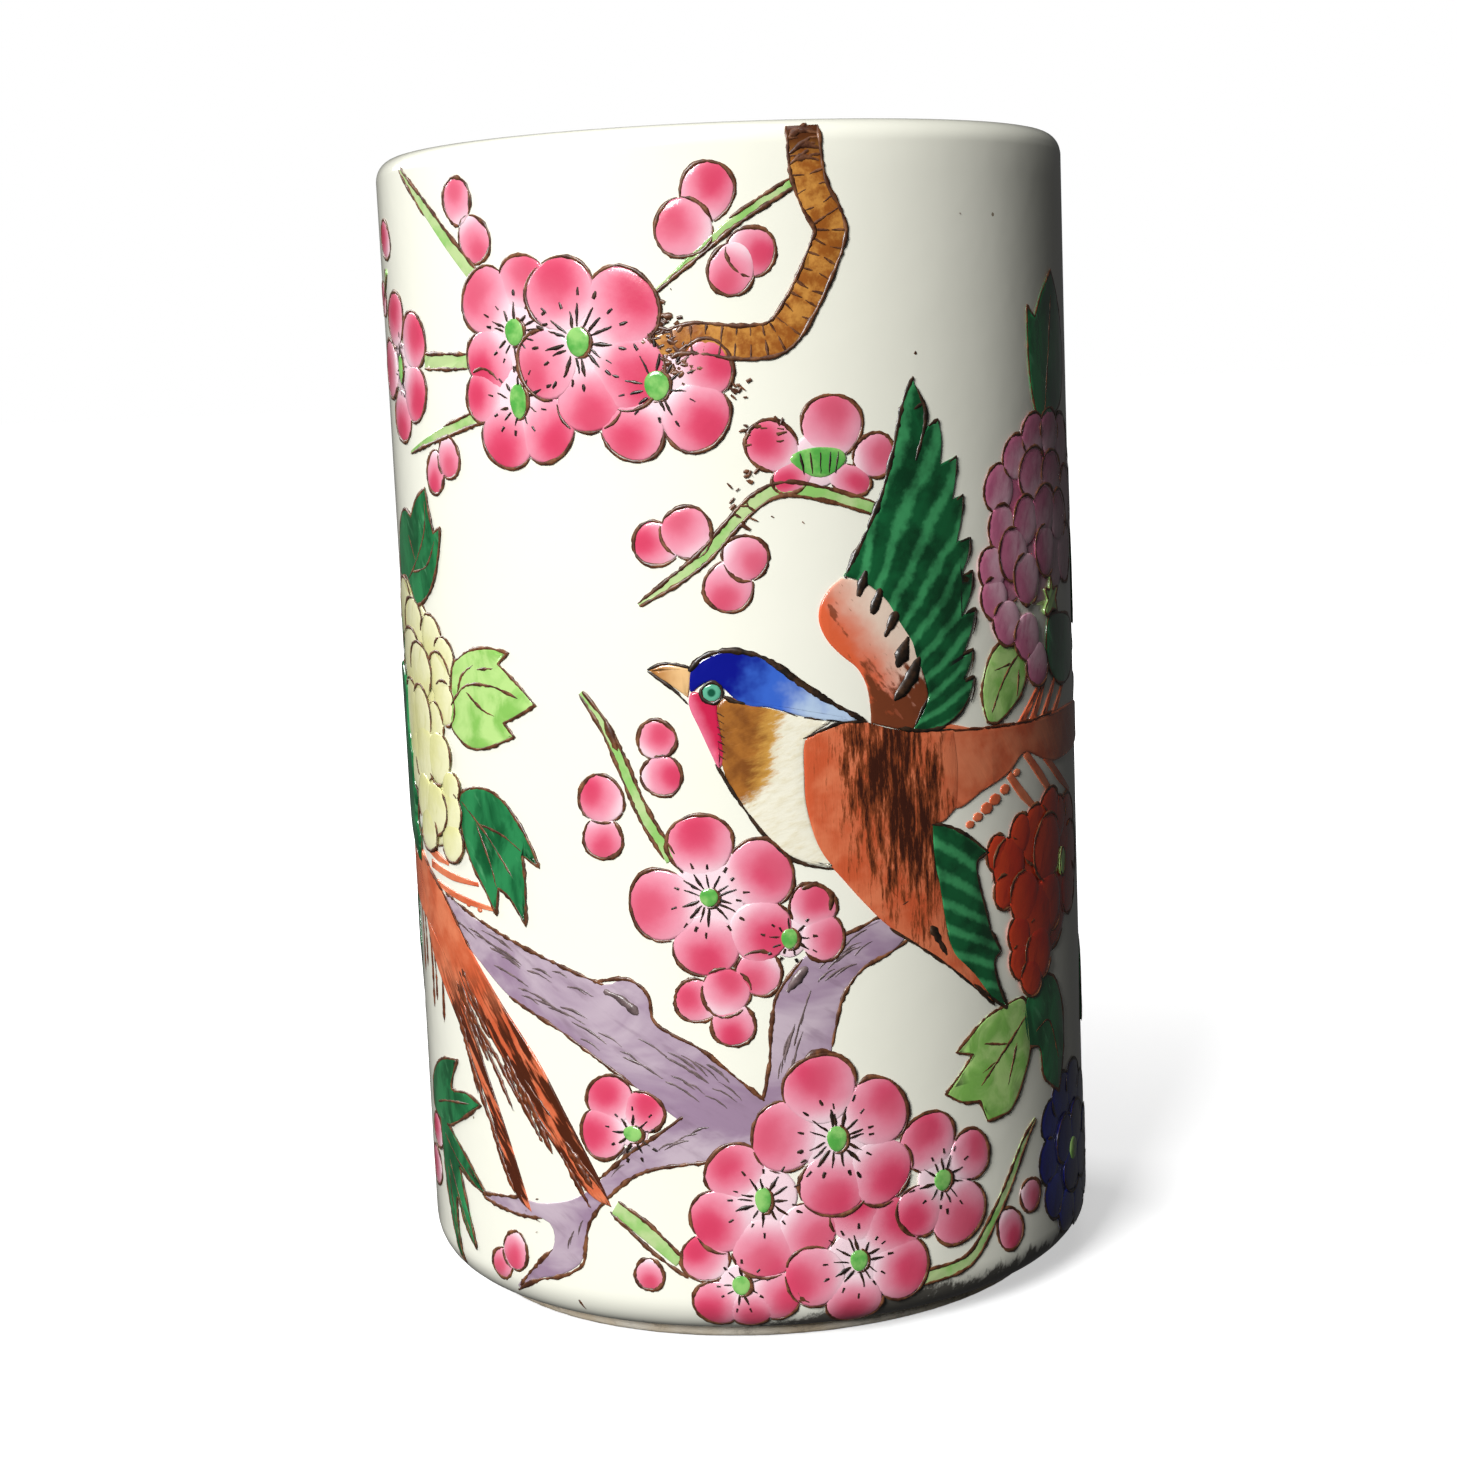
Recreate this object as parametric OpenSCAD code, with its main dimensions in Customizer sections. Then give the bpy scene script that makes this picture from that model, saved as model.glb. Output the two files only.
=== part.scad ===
/* [Pot] */
// Height of the pot from the table to the top of the lip
height = 120; // [100:1:140]
// Diameter over the glaze, without the raised enamels
outer_d = 72.4; // [66:0.2:80]
// Thickness of the fired clay wall
wall_t = 3.6; // [3:0.2:5]
// Thickness of the clay floor
floor_t = 5; // [4:0.5:8]
// Radius of the rounded corner between the inside wall and the floor
floor_fillet = 2; // [1:0.5:4]
// Radius of the rounded heel on the clay, above the foot
heel_r = 3.9; // [2:0.1:6]

/* [Foot] */
// Height of the bare clay ring under the floor
foot_h = 2; // [1.2:0.1:4]
// Outer diameter of the bare foot ring
foot_outer_d = 63; // [58:0.5:63.5]
// Width of the foot ring where it joins the floor
foot_w = 4; // [3:0.5:8]
// Chamfer on both lower edges of the foot ring
foot_chamfer = 0.7; // [0.3:0.1:1]

/* [Glaze and enamels] */
// Thickness of the clear glaze, inside and out
glaze_t = 0.4; // [0.2:0.1:0.6]
// How far the painted enamels stand out of the glaze
enamel_t = 0.25; // [0.15:0.05:0.5]
// How far the second coat, such as flower hearts, stands out of the first
second_coat_t = 0.1; // [0.05:0.05:0.3]
// Width of a painted green stem
stem_w = 1.1; // [0.8:0.1:2]

/* [Hidden] */
$fn = 96;

glaze_r = outer_d / 2;
clay_r = glaze_r - glaze_t;
clay_bore_r = clay_r - wall_t;
lip_r = wall_t / 2;
lip_centre_r = clay_r - lip_r;
lip_z = height - glaze_t - lip_r;
floor_z = foot_h + floor_t;
foot_r = foot_outer_d / 2;
foot_bore_r = foot_r - foot_w;
heel_centre_r = clay_r - heel_r;

// Places on the painted sheet are [along, up]: along is the distance round the glaze from the
// front, growing to the right, and up is the height above the table.
// A blossom is [along, up, size]: size is the distance from its heart to the middle of a petal.
high_blossoms = [[-41.5, 98.5, 4.7], [-22.5, 100.5, 4.2], [-13.5, 99.5, 4.8], [-5.5, 94.5, 3.2],
                 [9, 88.5, 3.4]];
low_blossoms = [[-3.5, 46.5, 4.8], [4, 41.5, 3], [-12.5, 22.5, 3], [7.5, 21.5, 5],
                [0, 14.5, 4.4], [9.5, 8.8, 4.4], [-2.5, 7.2, 3], [19, 15.5, 4]];
back_blossoms = [[72, 98, 4.8], [84, 90, 4.4], [96, 97, 4.6], [92, 79, 4], [-98, 30, 4.8],
                 [-88, 22, 4.4], [-104, 18, 4.4], [-80, 12, 4], [104, 36, 4.6], [110, 70, 4.2]];

// A bud is [along, up, radius].
buds = [[-46.5, 111.5, 1.7], [-49, 105.5, 1.5], [-28, 114, 2], [-26, 110.5, 2],
        [-31.5, 89.5, 1.8], [-34.5, 88, 1.7], [-1.5, 113.5, 2.3], [-3.5, 110, 2.2],
        [2.5, 107.5, 1.9], [0.5, 105.8, 1.8], [-8, 81, 1.8], [-4.5, 81.8, 2], [1, 79.5, 1.8],
        [-0.5, 76.5, 2], [-8.5, 62, 1.7], [-8, 58.3, 1.8], [-14.5, 56, 2], [-14.5, 52.3, 1.8],
        [-6, 36, 1.7], [-2.7, 36.8, 2], [-2, 33.6, 2], [-28.2, 8.2, 2], [-30.5, 6.5, 1.7],
        [28, 8.3, 1.9], [31.5, 11, 1.7], [-45.5, 17, 1.9], [-47, 12.5, 2], [66, 88, 2],
        [78, 106, 2], [102, 90, 1.9], [88, 68, 1.8], [-92, 38, 2], [-110, 26, 1.9], [108, 80, 2]];

// A stem is a list of places along its middle.
stems = [[[-38.7, 118.5], [-34, 114.2], [-30, 110.5], [-25.5, 106.5]],
         [[-35, 99], [-28, 98.8]],
         [[-25.5, 93.5], [-33, 91.8], [-40, 90]],
         [[6.8, 114], [1, 110.5], [-1.3, 108.7], [-6.8, 104.2]],
         [[-9.2, 75.2], [-4.5, 78], [-1.5, 80.7], [0.5, 83], [3.5, 85], [13.5, 83.2]],
         [[-15.8, 67], [-13.5, 64], [-12, 60], [-10, 55], [-7.5, 50.8]],
         [[-15, 15], [-9, 10.5]],
         [[17, 5.5], [22, 6.5], [25.5, 10], [28, 13], [31, 17], [33, 18.5]],
         [[67, 112], [70, 107], [73, 103]],
         [[92, 84], [90, 74], [88.5, 70]],
         [[104, 42], [107, 52], [109, 62], [110, 65]],
         [[-98, 36], [-94, 41], [-91, 45]]];

// A leaf is [along, up, length, width, turn]: turn is the angle of its midrib above level.
dark_leaf_list = [[-41, 79.5, 14, 7.5, 35], [-29, 49.5, 14, 7, 25], [-39, 23, 13, 5, 10],
                  [-39, 15, 17, 3.5, -55], [-36, 11, 14, 3, -75], [41.5, 99, 15, 8, 65],
                  [36.5, 26, 13, 5.5, 70], [58, 76, 18, 8, 60], [62, 58, 17, 7, -30],
                  [57, 30, 16, 7, 40], [-88, 78, 17, 8, 150], [80, 44, 16, 7, 160]];
light_leaf_list = [[-29.5, 65.5, 14, 7, 15], [29.5, 65, 9, 5, 60], [27, 26.5, 14, 8, 45],
                   [61, 90, 16, 7, 75], [66, 34, 16, 7, -20], [-82, 66, 15, 7, 165],
                   [90, 52, 15, 7, 30]];

// A peony is [along, up, radius].
cream_peony_list = [[-41, 62, 9.5], [70, 70, 9]];
rose_peony_list = [[39, 79.5, 11], [86, 30, 10]];
red_peony_list = [[38, 43.5, 9.5], [-86, 54, 9]];
blue_flower_list = [[42.5, 12, 7.5], [62, 14, 7], [-66, 14, 6.5]];

brown_bough_lines = [[[8.1, 118], [8.5, 114], [10.5, 109.5], [8.8, 105.6], [7, 102.2], [4.5, 99.6],
                      [-3, 100]],
                     [[100, 118], [97, 110], [92, 105], [90, 98], [82, 95], [76, 94]]];
brown_bough_w = 2.6;

// The lilac boughs are closed outlines on the sheet.
lilac_bough_main = [[-38, 44.5], [-26, 41], [-15, 37.5], [-11.5, 37.8], [-9.8, 34], [-2.5, 29],
                    [0.5, 26], [1, 21], [-10, 19.3], [-16, 15.5], [-17.5, 16.5], [-13, 21],
                    [-8, 24.5], [-15.5, 29.5], [-27, 35], [-32, 40]];
lilac_bough_fork = [[1, 23], [2, 35.5], [5, 40], [13.5, 43.3], [15.5, 40.5], [10, 37],
                    [7.5, 30], [7, 23]];
lilac_bough_root = [[-33, 12.5], [-24, 13.8], [-18, 15.2], [-17, 13], [-21, 8], [-28.5, 3.8],
                    [-30, 5], [-23, 10.5]];
lilac_bough_back = [[-112, 10], [-100, 15], [-92, 14], [-84, 20], [-78, 30], [-80, 32], [-88, 25],
                    [-96, 22], [-106, 24], [-113, 20]];

// The bird's outlines, on a sheet whose middle is the bird's own breast.
beak = [[-8.6, 8.9], [-4.8, 8.7], [-5, 6]];
crown = [[-4.6, 8.8], [-1.5, 10.3], [2, 9.5], [5, 7.5], [9, 4.6], [12, 2.9], [9, 3.1], [5, 4.1],
         [1, 5.3], [-1, 6.3], [-3, 7.5], [-4.7, 7]];
throat = [[-4.9, 6.2], [-3, 7.2], [-1.2, 6], [-1.8, 3], [-1.8, 0], [-3.3, 2]];
breast = [[-1.1, 6], [1, 5.1], [5, 3.9], [5.6, 1.5], [5.9, -5], [7, -9.5], [9, -11.8],
          [5, -10.2], [0, -4.5], [-1.7, 0], [-1.7, 3]];
bird_body = [[5.8, 3.7], [9, 2.9], [12, 2.7], [15.5, 1.5], [22, 1], [24, -6], [19.4, -8.2],
             [19.8, -14], [20.5, -19], [21.2, -21.3], [24.2, -24], [26.5, -27], [21, -22.6],
             [14, -17.5], [9.2, -11.8], [7.1, -9.5], [6.1, -5], [5.8, 1.5]];
lower_wing = [[19.6, -8.3], [22.5, -9.5], [25.5, -11.7], [25, -15], [27, -22], [27.5, -27],
              [24.4, -23.9], [21.4, -21.2], [20.7, -19], [20, -14]];
upper_wing = [[8.2, 14.5], [10.7, 17.5], [13, 23], [16, 31], [18.5, 35.3], [21.2, 31.4],
              [23.2, 28], [24.2, 24], [25.4, 16.3], [25.5, 8.5], [24.5, 4.5], [20.5, 1.6],
              [15.6, 1.8], [12.4, 3.2], [11.5, 8.3], [9, 10.5]];
eye_place = [-2.7, 6.5];
eye_r = 0.9;

// A bird is [along, up, turn] of its breast.
birds = [[0, 60, 0], [-66, 61, -35]];
// Each bird holds its raised wing and its tail its own way, drawn straight on the sheet.
raised_wings = [moved(upper_wing, birds[0]),
                [[-55.5, 57.8], [-52.2, 54.2], [-47, 49.8], [-45, 49.5], [-45.5, 55], [-48, 61],
                 [-54.5, 72], [-61, 86], [-68.5, 94], [-64, 76]]];
tails = [[[22.2, 61], [30, 60.4], [46, 60.5], [60, 57.5], [50, 55.8], [36, 56], [32, 57.5],
          [29, 55.5], [24.2, 54]],
         [[-47, 48.6], [-44, 47.5], [-33, 39], [-23, 29], [-19, 23], [-17.8, 18.2], [-22, 21.5],
          [-31, 31.5], [-42, 39.5], [-49.2, 42.8]],
         [[-38, 33], [-35, 32], [-29, 21.5], [-25, 14], [-27.5, 14], [-32.5, 24]]];

// ---- sections of the pot ----

// Half section of the whole pot, filled, with a skin of thickness t on the clay.
module filled_section(t) {
    translate([0, foot_h - t]) square([heel_centre_r, lip_z - foot_h + t]);
    translate([0, foot_h + heel_r]) square([clay_r + t, lip_z - foot_h - heel_r]);
    translate([heel_centre_r, foot_h + heel_r]) circle(heel_r + t);
    translate([lip_centre_r, lip_z]) circle(lip_r + t);
}

// Half section of the hollow, with a skin of thickness t left on its wall and floor.
module hollow_section(t) {
    translate([0, floor_z + t]) square([clay_bore_r - floor_fillet, height]);
    translate([0, floor_z + floor_fillet]) square([clay_bore_r - t, height]);
    translate([clay_bore_r - floor_fillet, floor_z + floor_fillet]) circle(floor_fillet - t);
}

// ---- placing paint on the pot ----

function degrees_round(along) = along / glaze_r * 180 / PI;
function mean_along(points) = (max([for (p = points) p[0]]) + min([for (p = points) p[0]])) / 2;
function turned(p, a) = [p[0] * cos(a) - p[1] * sin(a), p[0] * sin(a) + p[1] * cos(a)];
function moved(points, place) =
    [for (p = points) [place[0], place[1]] + turned(p, place[2])];
function unit(v) = v / norm(v);
function side(v) = [-v[1], v[0]];
function heading(points, i) =
    unit(points[min(i + 1, len(points) - 1)] - points[max(i - 1, 0)]);
function stroke(points, w) = let (n = len(points)) concat(
    [for (i = [0:n - 1]) points[i] + side(heading(points, i)) * w / 2],
    [for (i = [n - 1:-1:0]) points[i] - side(heading(points, i)) * w / 2]);
// A leaf outline: two arcs of a sine wave that meet in points at the ends.
function leaf_outline(l) = let (n = 8) moved(concat(
    [for (i = [0:n]) [l[2] * (i / n - 0.5), l[3] / 2 * sin(180 * i / n)]],
    [for (i = [n - 1:-1:1]) [l[2] * (i / n - 0.5), -l[3] / 2 * sin(180 * i / n)]]),
    [l[0], l[1], l[4]]);

// A bar that runs out through the wall, with the 2D child as its section.
module outward(along)
    rotate([0, 0, degrees_round(along)]) translate([0, -clay_bore_r, 0]) rotate([90, 0, 0])
        linear_extrude(glaze_r) children();

// The bar that cuts one outline, given in sheet places, out of a coat.
module outline_bar(points) {
    middle = mean_along(points);
    outward(middle)
        polygon([for (p = points) [glaze_r * sin(degrees_round(p[0] - middle)), p[1]]]);
}

module dot_bar(along, up, r)
    outward(along) translate([0, up]) circle(r);

// Half section of a coat t thick that lies on a skin already built up to start on the clay.
module coat_section(start, t)
    difference() {
        filled_section(start + t);
        filled_section(start);
        square([foot_r, lip_z]);
        square([lip_centre_r, 2 * height]);
    }

// Cuts its children's bars out of the coat of enamel that lies on the glaze.
module first_coat()
    intersection() {
        rotate_extrude() coat_section(glaze_t, enamel_t);
        children();
    }

module second_coat()
    intersection() {
        rotate_extrude() coat_section(glaze_t + enamel_t, second_coat_t);
        children();
    }

module petal_bars(blossoms)
    for (b = blossoms, i = [0:4])
        dot_bar(b[0] + b[2] * sin(72 * i), b[1] + b[2] * cos(72 * i), b[2] * 0.6);

module bud_bars()
    for (b = buds)
        dot_bar(b[0], b[1], b[2]);

module peony_bars(peonies)
    for (p = peonies) {
        dot_bar(p[0], p[1], p[2] * 0.6);
        for (i = [0:6])
            dot_bar(p[0] + p[2] * 0.65 * sin(360 / 7 * i), p[1] + p[2] * 0.65 * cos(360 / 7 * i),
                    p[2] * 0.35);
    }

module bird_coat(outline)
    first_coat()
        for (b = birds)
            outline_bar(moved(outline, b));

module clay_section()
    difference() {
        filled_section(0);
        hollow_section(0);
    }

// ---- the clay ----

module pot_wall()
    color("gainsboro")
        rotate_extrude() intersection() {
            clay_section();
            translate([0, floor_z]) square([glaze_r, height]);
        }

module base_slab()
    color("silver")
        rotate_extrude() intersection() {
            clay_section();
            square([glaze_r, floor_z]);
        }

module foot_ring()
    color("wheat")
        rotate_extrude()
            polygon([[foot_bore_r, foot_h], [foot_bore_r, foot_chamfer],
                     [foot_bore_r + foot_chamfer, 0], [foot_r - foot_chamfer, 0],
                     [foot_r, foot_chamfer], [foot_r, foot_h]]);

// ---- the glaze ----

module outer_glaze()
    color("whitesmoke")
        rotate_extrude() coat_section(0, glaze_t);

module inner_glaze()
    color("white")
        rotate_extrude() {
            difference() {
                hollow_section(0);
                hollow_section(glaze_t);
                translate([0, lip_z]) square([glaze_r, 2 * height]);
            }
            difference() {
                translate([lip_centre_r, lip_z]) circle(lip_r + glaze_t);
                translate([lip_centre_r, lip_z]) circle(lip_r);
                square([glaze_r, lip_z]);
                translate([lip_centre_r, lip_z]) square([glaze_r, height]);
            }
        }

module base_glaze()
    color("white")
        translate([0, 0, foot_h - glaze_t]) cylinder(r = foot_bore_r, h = glaze_t);

// ---- boughs and blossom ----

module brown_boughs()
    color("peru")
        first_coat() difference() {
            for (line = brown_bough_lines)
                outline_bar(stroke(line, brown_bough_w));
            petal_bars(high_blossoms);
            petal_bars(back_blossoms);
        }

module lilac_boughs()
    color("thistle")
        first_coat() difference() {
            union() {
                outline_bar(lilac_bough_main);
                outline_bar(lilac_bough_fork);
                outline_bar(lilac_bough_root);
                outline_bar(lilac_bough_back);
            }
            petal_bars(low_blossoms);
            petal_bars(back_blossoms);
            bud_bars();
        }

module green_stems()
    color("yellowgreen")
        first_coat() difference() {
            for (line = stems)
                outline_bar(stroke(line, stem_w));
            petal_bars(concat(high_blossoms, low_blossoms, back_blossoms));
            bud_bars();
        }

module blossom_petals()
    color("palevioletred")
        first_coat() petal_bars(concat(high_blossoms, low_blossoms, back_blossoms));

module blossom_hearts()
    color("limegreen")
        second_coat()
            for (b = concat(high_blossoms, low_blossoms, back_blossoms))
                dot_bar(b[0], b[1], b[2] * 0.45);

module blossom_buds()
    color("hotpink")
        first_coat() difference() {
            bud_bars();
            petal_bars(concat(high_blossoms, low_blossoms, back_blossoms));
        }

// ---- leaves and large flowers ----

module dark_leaves()
    color("darkgreen")
        first_coat()
            for (leaf = dark_leaf_list)
                outline_bar(leaf_outline(leaf));

module light_leaves()
    color("palegreen")
        first_coat()
            for (leaf = light_leaf_list)
                outline_bar(leaf_outline(leaf));

module cream_peonies()
    color("lemonchiffon")
        first_coat() peony_bars(cream_peony_list);

module rose_peonies()
    color("mediumvioletred")
        first_coat() peony_bars(rose_peony_list);

module red_peonies()
    color("firebrick")
        first_coat() peony_bars(red_peony_list);

module blue_flowers()
    color("darkblue")
        first_coat() peony_bars(blue_flower_list);

// ---- the birds ----

module bird_crowns() color("royalblue") bird_coat(crown);
module bird_beaks() color("burlywood") bird_coat(beak);
module bird_throats() color("deeppink") bird_coat(throat);
module bird_breasts() color("saddlebrown") bird_coat(breast);
module bird_bodies() color("coral") bird_coat(bird_body);

module bird_wings()
    color("seagreen") {
        bird_coat(lower_wing);
        first_coat()
            for (outline = raised_wings)
                outline_bar(outline);
    }

module bird_tails()
    color("tomato")
        first_coat()
            for (outline = tails)
                outline_bar(outline);

module bird_eyes()
    color("black")
        second_coat()
            for (b = birds, p = moved([eye_place], b))
                dot_bar(p[0], p[1], eye_r);

pot_wall();
base_slab();
foot_ring();
outer_glaze();
inner_glaze();
base_glaze();
brown_boughs();
lilac_boughs();
green_stems();
blossom_petals();
blossom_hearts();
blossom_buds();
dark_leaves();
light_leaves();
cream_peonies();
rose_peonies();
red_peonies();
blue_flowers();
bird_crowns();
bird_beaks();
bird_throats();
bird_breasts();
bird_bodies();
bird_wings();
bird_tails();
bird_eyes();
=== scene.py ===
import math
import random

import bpy
import numpy as np
from mathutils import Matrix, Vector


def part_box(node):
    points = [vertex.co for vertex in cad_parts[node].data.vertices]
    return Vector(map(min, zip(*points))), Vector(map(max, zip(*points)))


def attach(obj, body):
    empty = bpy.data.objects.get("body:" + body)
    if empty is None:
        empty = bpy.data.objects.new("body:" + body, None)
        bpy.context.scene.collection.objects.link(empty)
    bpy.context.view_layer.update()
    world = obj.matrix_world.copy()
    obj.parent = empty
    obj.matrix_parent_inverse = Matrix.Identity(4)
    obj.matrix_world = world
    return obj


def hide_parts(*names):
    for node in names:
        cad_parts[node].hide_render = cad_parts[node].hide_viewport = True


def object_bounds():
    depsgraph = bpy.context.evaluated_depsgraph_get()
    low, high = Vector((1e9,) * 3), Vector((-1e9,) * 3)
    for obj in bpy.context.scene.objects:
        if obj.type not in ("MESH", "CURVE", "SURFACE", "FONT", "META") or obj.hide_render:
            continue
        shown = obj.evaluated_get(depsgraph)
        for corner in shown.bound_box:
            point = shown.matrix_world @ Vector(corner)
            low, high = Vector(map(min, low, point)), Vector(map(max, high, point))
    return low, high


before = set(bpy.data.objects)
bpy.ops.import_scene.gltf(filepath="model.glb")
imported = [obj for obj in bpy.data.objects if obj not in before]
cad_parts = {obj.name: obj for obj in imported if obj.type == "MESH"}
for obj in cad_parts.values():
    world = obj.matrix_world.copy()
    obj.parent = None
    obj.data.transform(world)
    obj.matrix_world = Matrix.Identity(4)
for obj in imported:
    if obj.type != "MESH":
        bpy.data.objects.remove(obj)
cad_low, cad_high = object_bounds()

# ---- The clay wall and floor ----
# White porcelain clay, thrown and turned, with the floor luted in. Both keep their CAD shape:
# the glaze covers them, so hardly any of the clay is ever seen.


def srgb(red, green, blue):
    """A paint colour given from 0 to 255, as the linear values that shaders take."""
    parts = [c / 255 for c in (red, green, blue)]
    return tuple(c / 12.92 if c < 0.04045 else ((c + 0.055) / 1.055) ** 2.4 for c in parts) + (1,)


class Recipe:
    """One finish, built a step at a time. Each step returns the socket that the next one uses."""

    def __init__(self, name, roughness, coat=0.0, coat_roughness=0.05):
        self.material = bpy.data.materials.new(name)
        self.material.use_nodes = True
        self.tree = self.material.node_tree
        self.shader = self.tree.nodes["Principled BSDF"]
        self.shader.inputs["Roughness"].default_value = roughness
        self.shader.inputs["Coat Weight"].default_value = coat
        self.shader.inputs["Coat Roughness"].default_value = coat_roughness

    def step(self, kind, inputs=(), **settings):
        node = self.tree.nodes.new("ShaderNode" + kind)
        for name, value in settings.items():
            setattr(node, name, value)
        for socket, value in inputs:
            if isinstance(value, bpy.types.NodeSocket):
                self.tree.links.new(value, node.inputs[socket])
            elif value is not None:
                node.inputs[socket].default_value = value
        return node

    def place(self, stretch=(1, 1, 1), turn=0.0, uv=None):
        """Where a point is, in millimetres on the piece or on its flat map, or in petal widths."""
        where = self.step("UVMap", uv_map=uv).outputs[0] if uv else None
        where = where or self.step("TexCoord").outputs["Object"]
        unit = {None: 1000, "petal": 1}.get(uv, 100)
        size = [s * unit for s in stretch]
        turned = self.step("Mapping", [("Vector", where), ("Rotation", (0, 0, math.radians(turn)))])
        return self.step("Mapping", [("Vector", turned.outputs[0]), ("Scale", size)]).outputs[0]

    def noise(self, scale, detail=3.0, rough=0.55, swirl=0.0, **where):
        inputs = [("Vector", self.place(**where)), ("Scale", scale), ("Detail", detail),
                  ("Roughness", rough), ("Distortion", swirl)]
        return self.step("TexNoise", inputs).outputs["Fac"]

    def sum(self, way, first, second=None, third=None):
        return self.step("Math", list(enumerate((first, second, third))), operation=way).outputs[0]

    def far(self, across, ahead):
        """How far from nothing two offsets take a point."""
        return self.sum("SQRT", self.sum("ADD", self.sum("POWER", across, 2.0),
                                         self.sum("POWER", ahead, 2.0)))

    def between(self, value, low, high, out_low=0.0, out_high=1.0):
        inputs = [("Value", value), ("From Min", low), ("From Max", high),
                  ("To Min", out_low), ("To Max", out_high)]
        return self.step("MapRange", inputs, interpolation_type="SMOOTHSTEP").outputs[0]

    def mix(self, share, first, second):
        inputs = [(0, share), (6, first), (7, second)]
        return self.step("Mix", inputs, data_type="RGBA").outputs[2]

    def shade(self, value, low, high, first, second):
        """The first colour below a value and the second above it, blended in between."""
        return self.mix(self.between(value, low, high), first, second)

    def split(self, place):
        return self.step("SeparateXYZ", [(0, place)]).outputs

    def colour(self, socket):
        self.tree.links.new(socket, self.shader.inputs["Base Color"])

    def rough(self, socket):
        self.tree.links.new(socket, self.shader.inputs["Roughness"])

    def bump(self, height, depth_mm):
        """Bump of the given depth for a height from 0 to 1."""
        node = self.step("Bump", [("Height", height), ("Distance", depth_mm / 1000)])
        self.tree.links.new(node.outputs[0], self.shader.inputs["Normal"])
        self.tree.links.new(node.outputs[0], self.shader.inputs["Coat Normal"])


def clad(piece, finish):
    piece.data.materials.clear()
    piece.data.materials.append(finish.material)


white_clay = Recipe("white_clay", roughness=0.75)
clay_grain = white_clay.noise(3.0, detail=6)
white_clay.colour(white_clay.mix(clay_grain, srgb(238, 235, 226), srgb(226, 221, 208)))
white_clay.bump(clay_grain, 0.03)
for node_name in ("pot_wall", "base_slab"):
    clad(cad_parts[node_name], white_clay)

# ---- The bare foot ring ----
# The ring that the pot stands on, turned from the same clay and wiped clean of glaze, so it is
# dry and gritty, faintly toasted, and dirty in patches.

MM = 1000
foot_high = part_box("foot_ring")[1]
foot_r = foot_high.x * MM
foot_top = foot_high.z * MM
foot_bore_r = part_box("base_glaze")[1].x * MM
foot_edge = 0.7
random.seed(7)


def arc(centre, radius, first, last, steps):
    """Points [out, up] along an arc, with its angles in degrees above level."""
    angles = [math.radians(first + (last - first) * i / steps) for i in range(steps + 1)]
    return [(centre[0] + radius * math.cos(a), centre[1] + radius * math.sin(a)) for a in angles]


def ladder(first, last, step=3.0):
    """Points along a straight stretch, without its two ends."""
    rungs = max(1, round(math.dist(first, last) / step))
    return [tuple(np.array(first) + (np.array(last) - first) * i / rungs) for i in range(1, rungs)]


def select_only(piece):
    bpy.ops.object.select_all(action="DESELECT")
    piece.select_set(True)
    bpy.context.view_layer.objects.active = piece


def turn_on_wheel(name, section, steps=256):
    """A closed ring of the given section, turned about the pot's axis, in millimetres."""
    bpy.ops.object.select_all(action="DESELECT")
    bpy.ops.mesh.primitive_circle_add(vertices=len(section), radius=1, fill_type="NOTHING")
    piece = bpy.context.object
    piece.name = piece.data.name = name
    for vertex, (out, up) in zip(piece.data.vertices, section):
        vertex.co = (out, 0, up)
    bpy.ops.object.mode_set(mode="EDIT")
    bpy.ops.mesh.select_all(action="SELECT")
    bpy.ops.mesh.spin(steps=steps, angle=2 * math.pi, center=(0, 0, 0), axis=(0, 0, 1))
    bpy.ops.mesh.select_all(action="SELECT")
    bpy.ops.mesh.remove_doubles(threshold=0.001)
    bpy.ops.mesh.normals_make_consistent(inside=False)
    bpy.ops.object.mode_set(mode="OBJECT")
    bpy.ops.object.shade_smooth_by_angle(angle=math.radians(50))
    return piece


def shrink_to_metres(piece):
    piece.data.transform(Matrix.Scale(1 / MM, 4))
    piece.data.update()


foot_section = (arc((foot_bore_r + foot_edge, foot_edge), foot_edge, 180, 270, 4)
                + arc((foot_r - foot_edge, foot_edge), foot_edge, 270, 360, 4)
                + [(foot_r, foot_top), (foot_bore_r, foot_top)])
foot = turn_on_wheel("bare_foot", foot_section)
for vertex in foot.data.vertices:
    if foot_edge < vertex.co.z < foot_top or vertex.co.z < foot_edge / 2:
        vertex.co.xy *= 1 + random.uniform(-0.0012, 0.0012)
shrink_to_metres(foot)
bare_clay = Recipe("bare_clay", roughness=0.85)
grit = bare_clay.noise(1.6, detail=8, rough=0.7)
toast = bare_clay.between(bare_clay.noise(0.12, detail=4), 0.35, 0.7)
dirt = bare_clay.between(bare_clay.noise(0.45, detail=8, rough=0.75), 0.5, 0.68)
warm_clay = bare_clay.mix(toast, srgb(234, 226, 210), srgb(212, 194, 166))
dirt = bare_clay.sum("MULTIPLY", dirt, 0.45)
bare_clay.colour(bare_clay.mix(dirt, warm_clay, srgb(92, 76, 60)))
bare_clay.bump(grit, 0.12)
clad(foot, bare_clay)
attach(foot, "root")
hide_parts("foot_ring")

# ---- The clear glaze ----
# One glassy coat over the clay: outside, over the lip, down the inside and under the floor. It is
# a warm white, a little uneven from dipping, with iron specks and fine scratches of use.

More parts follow.
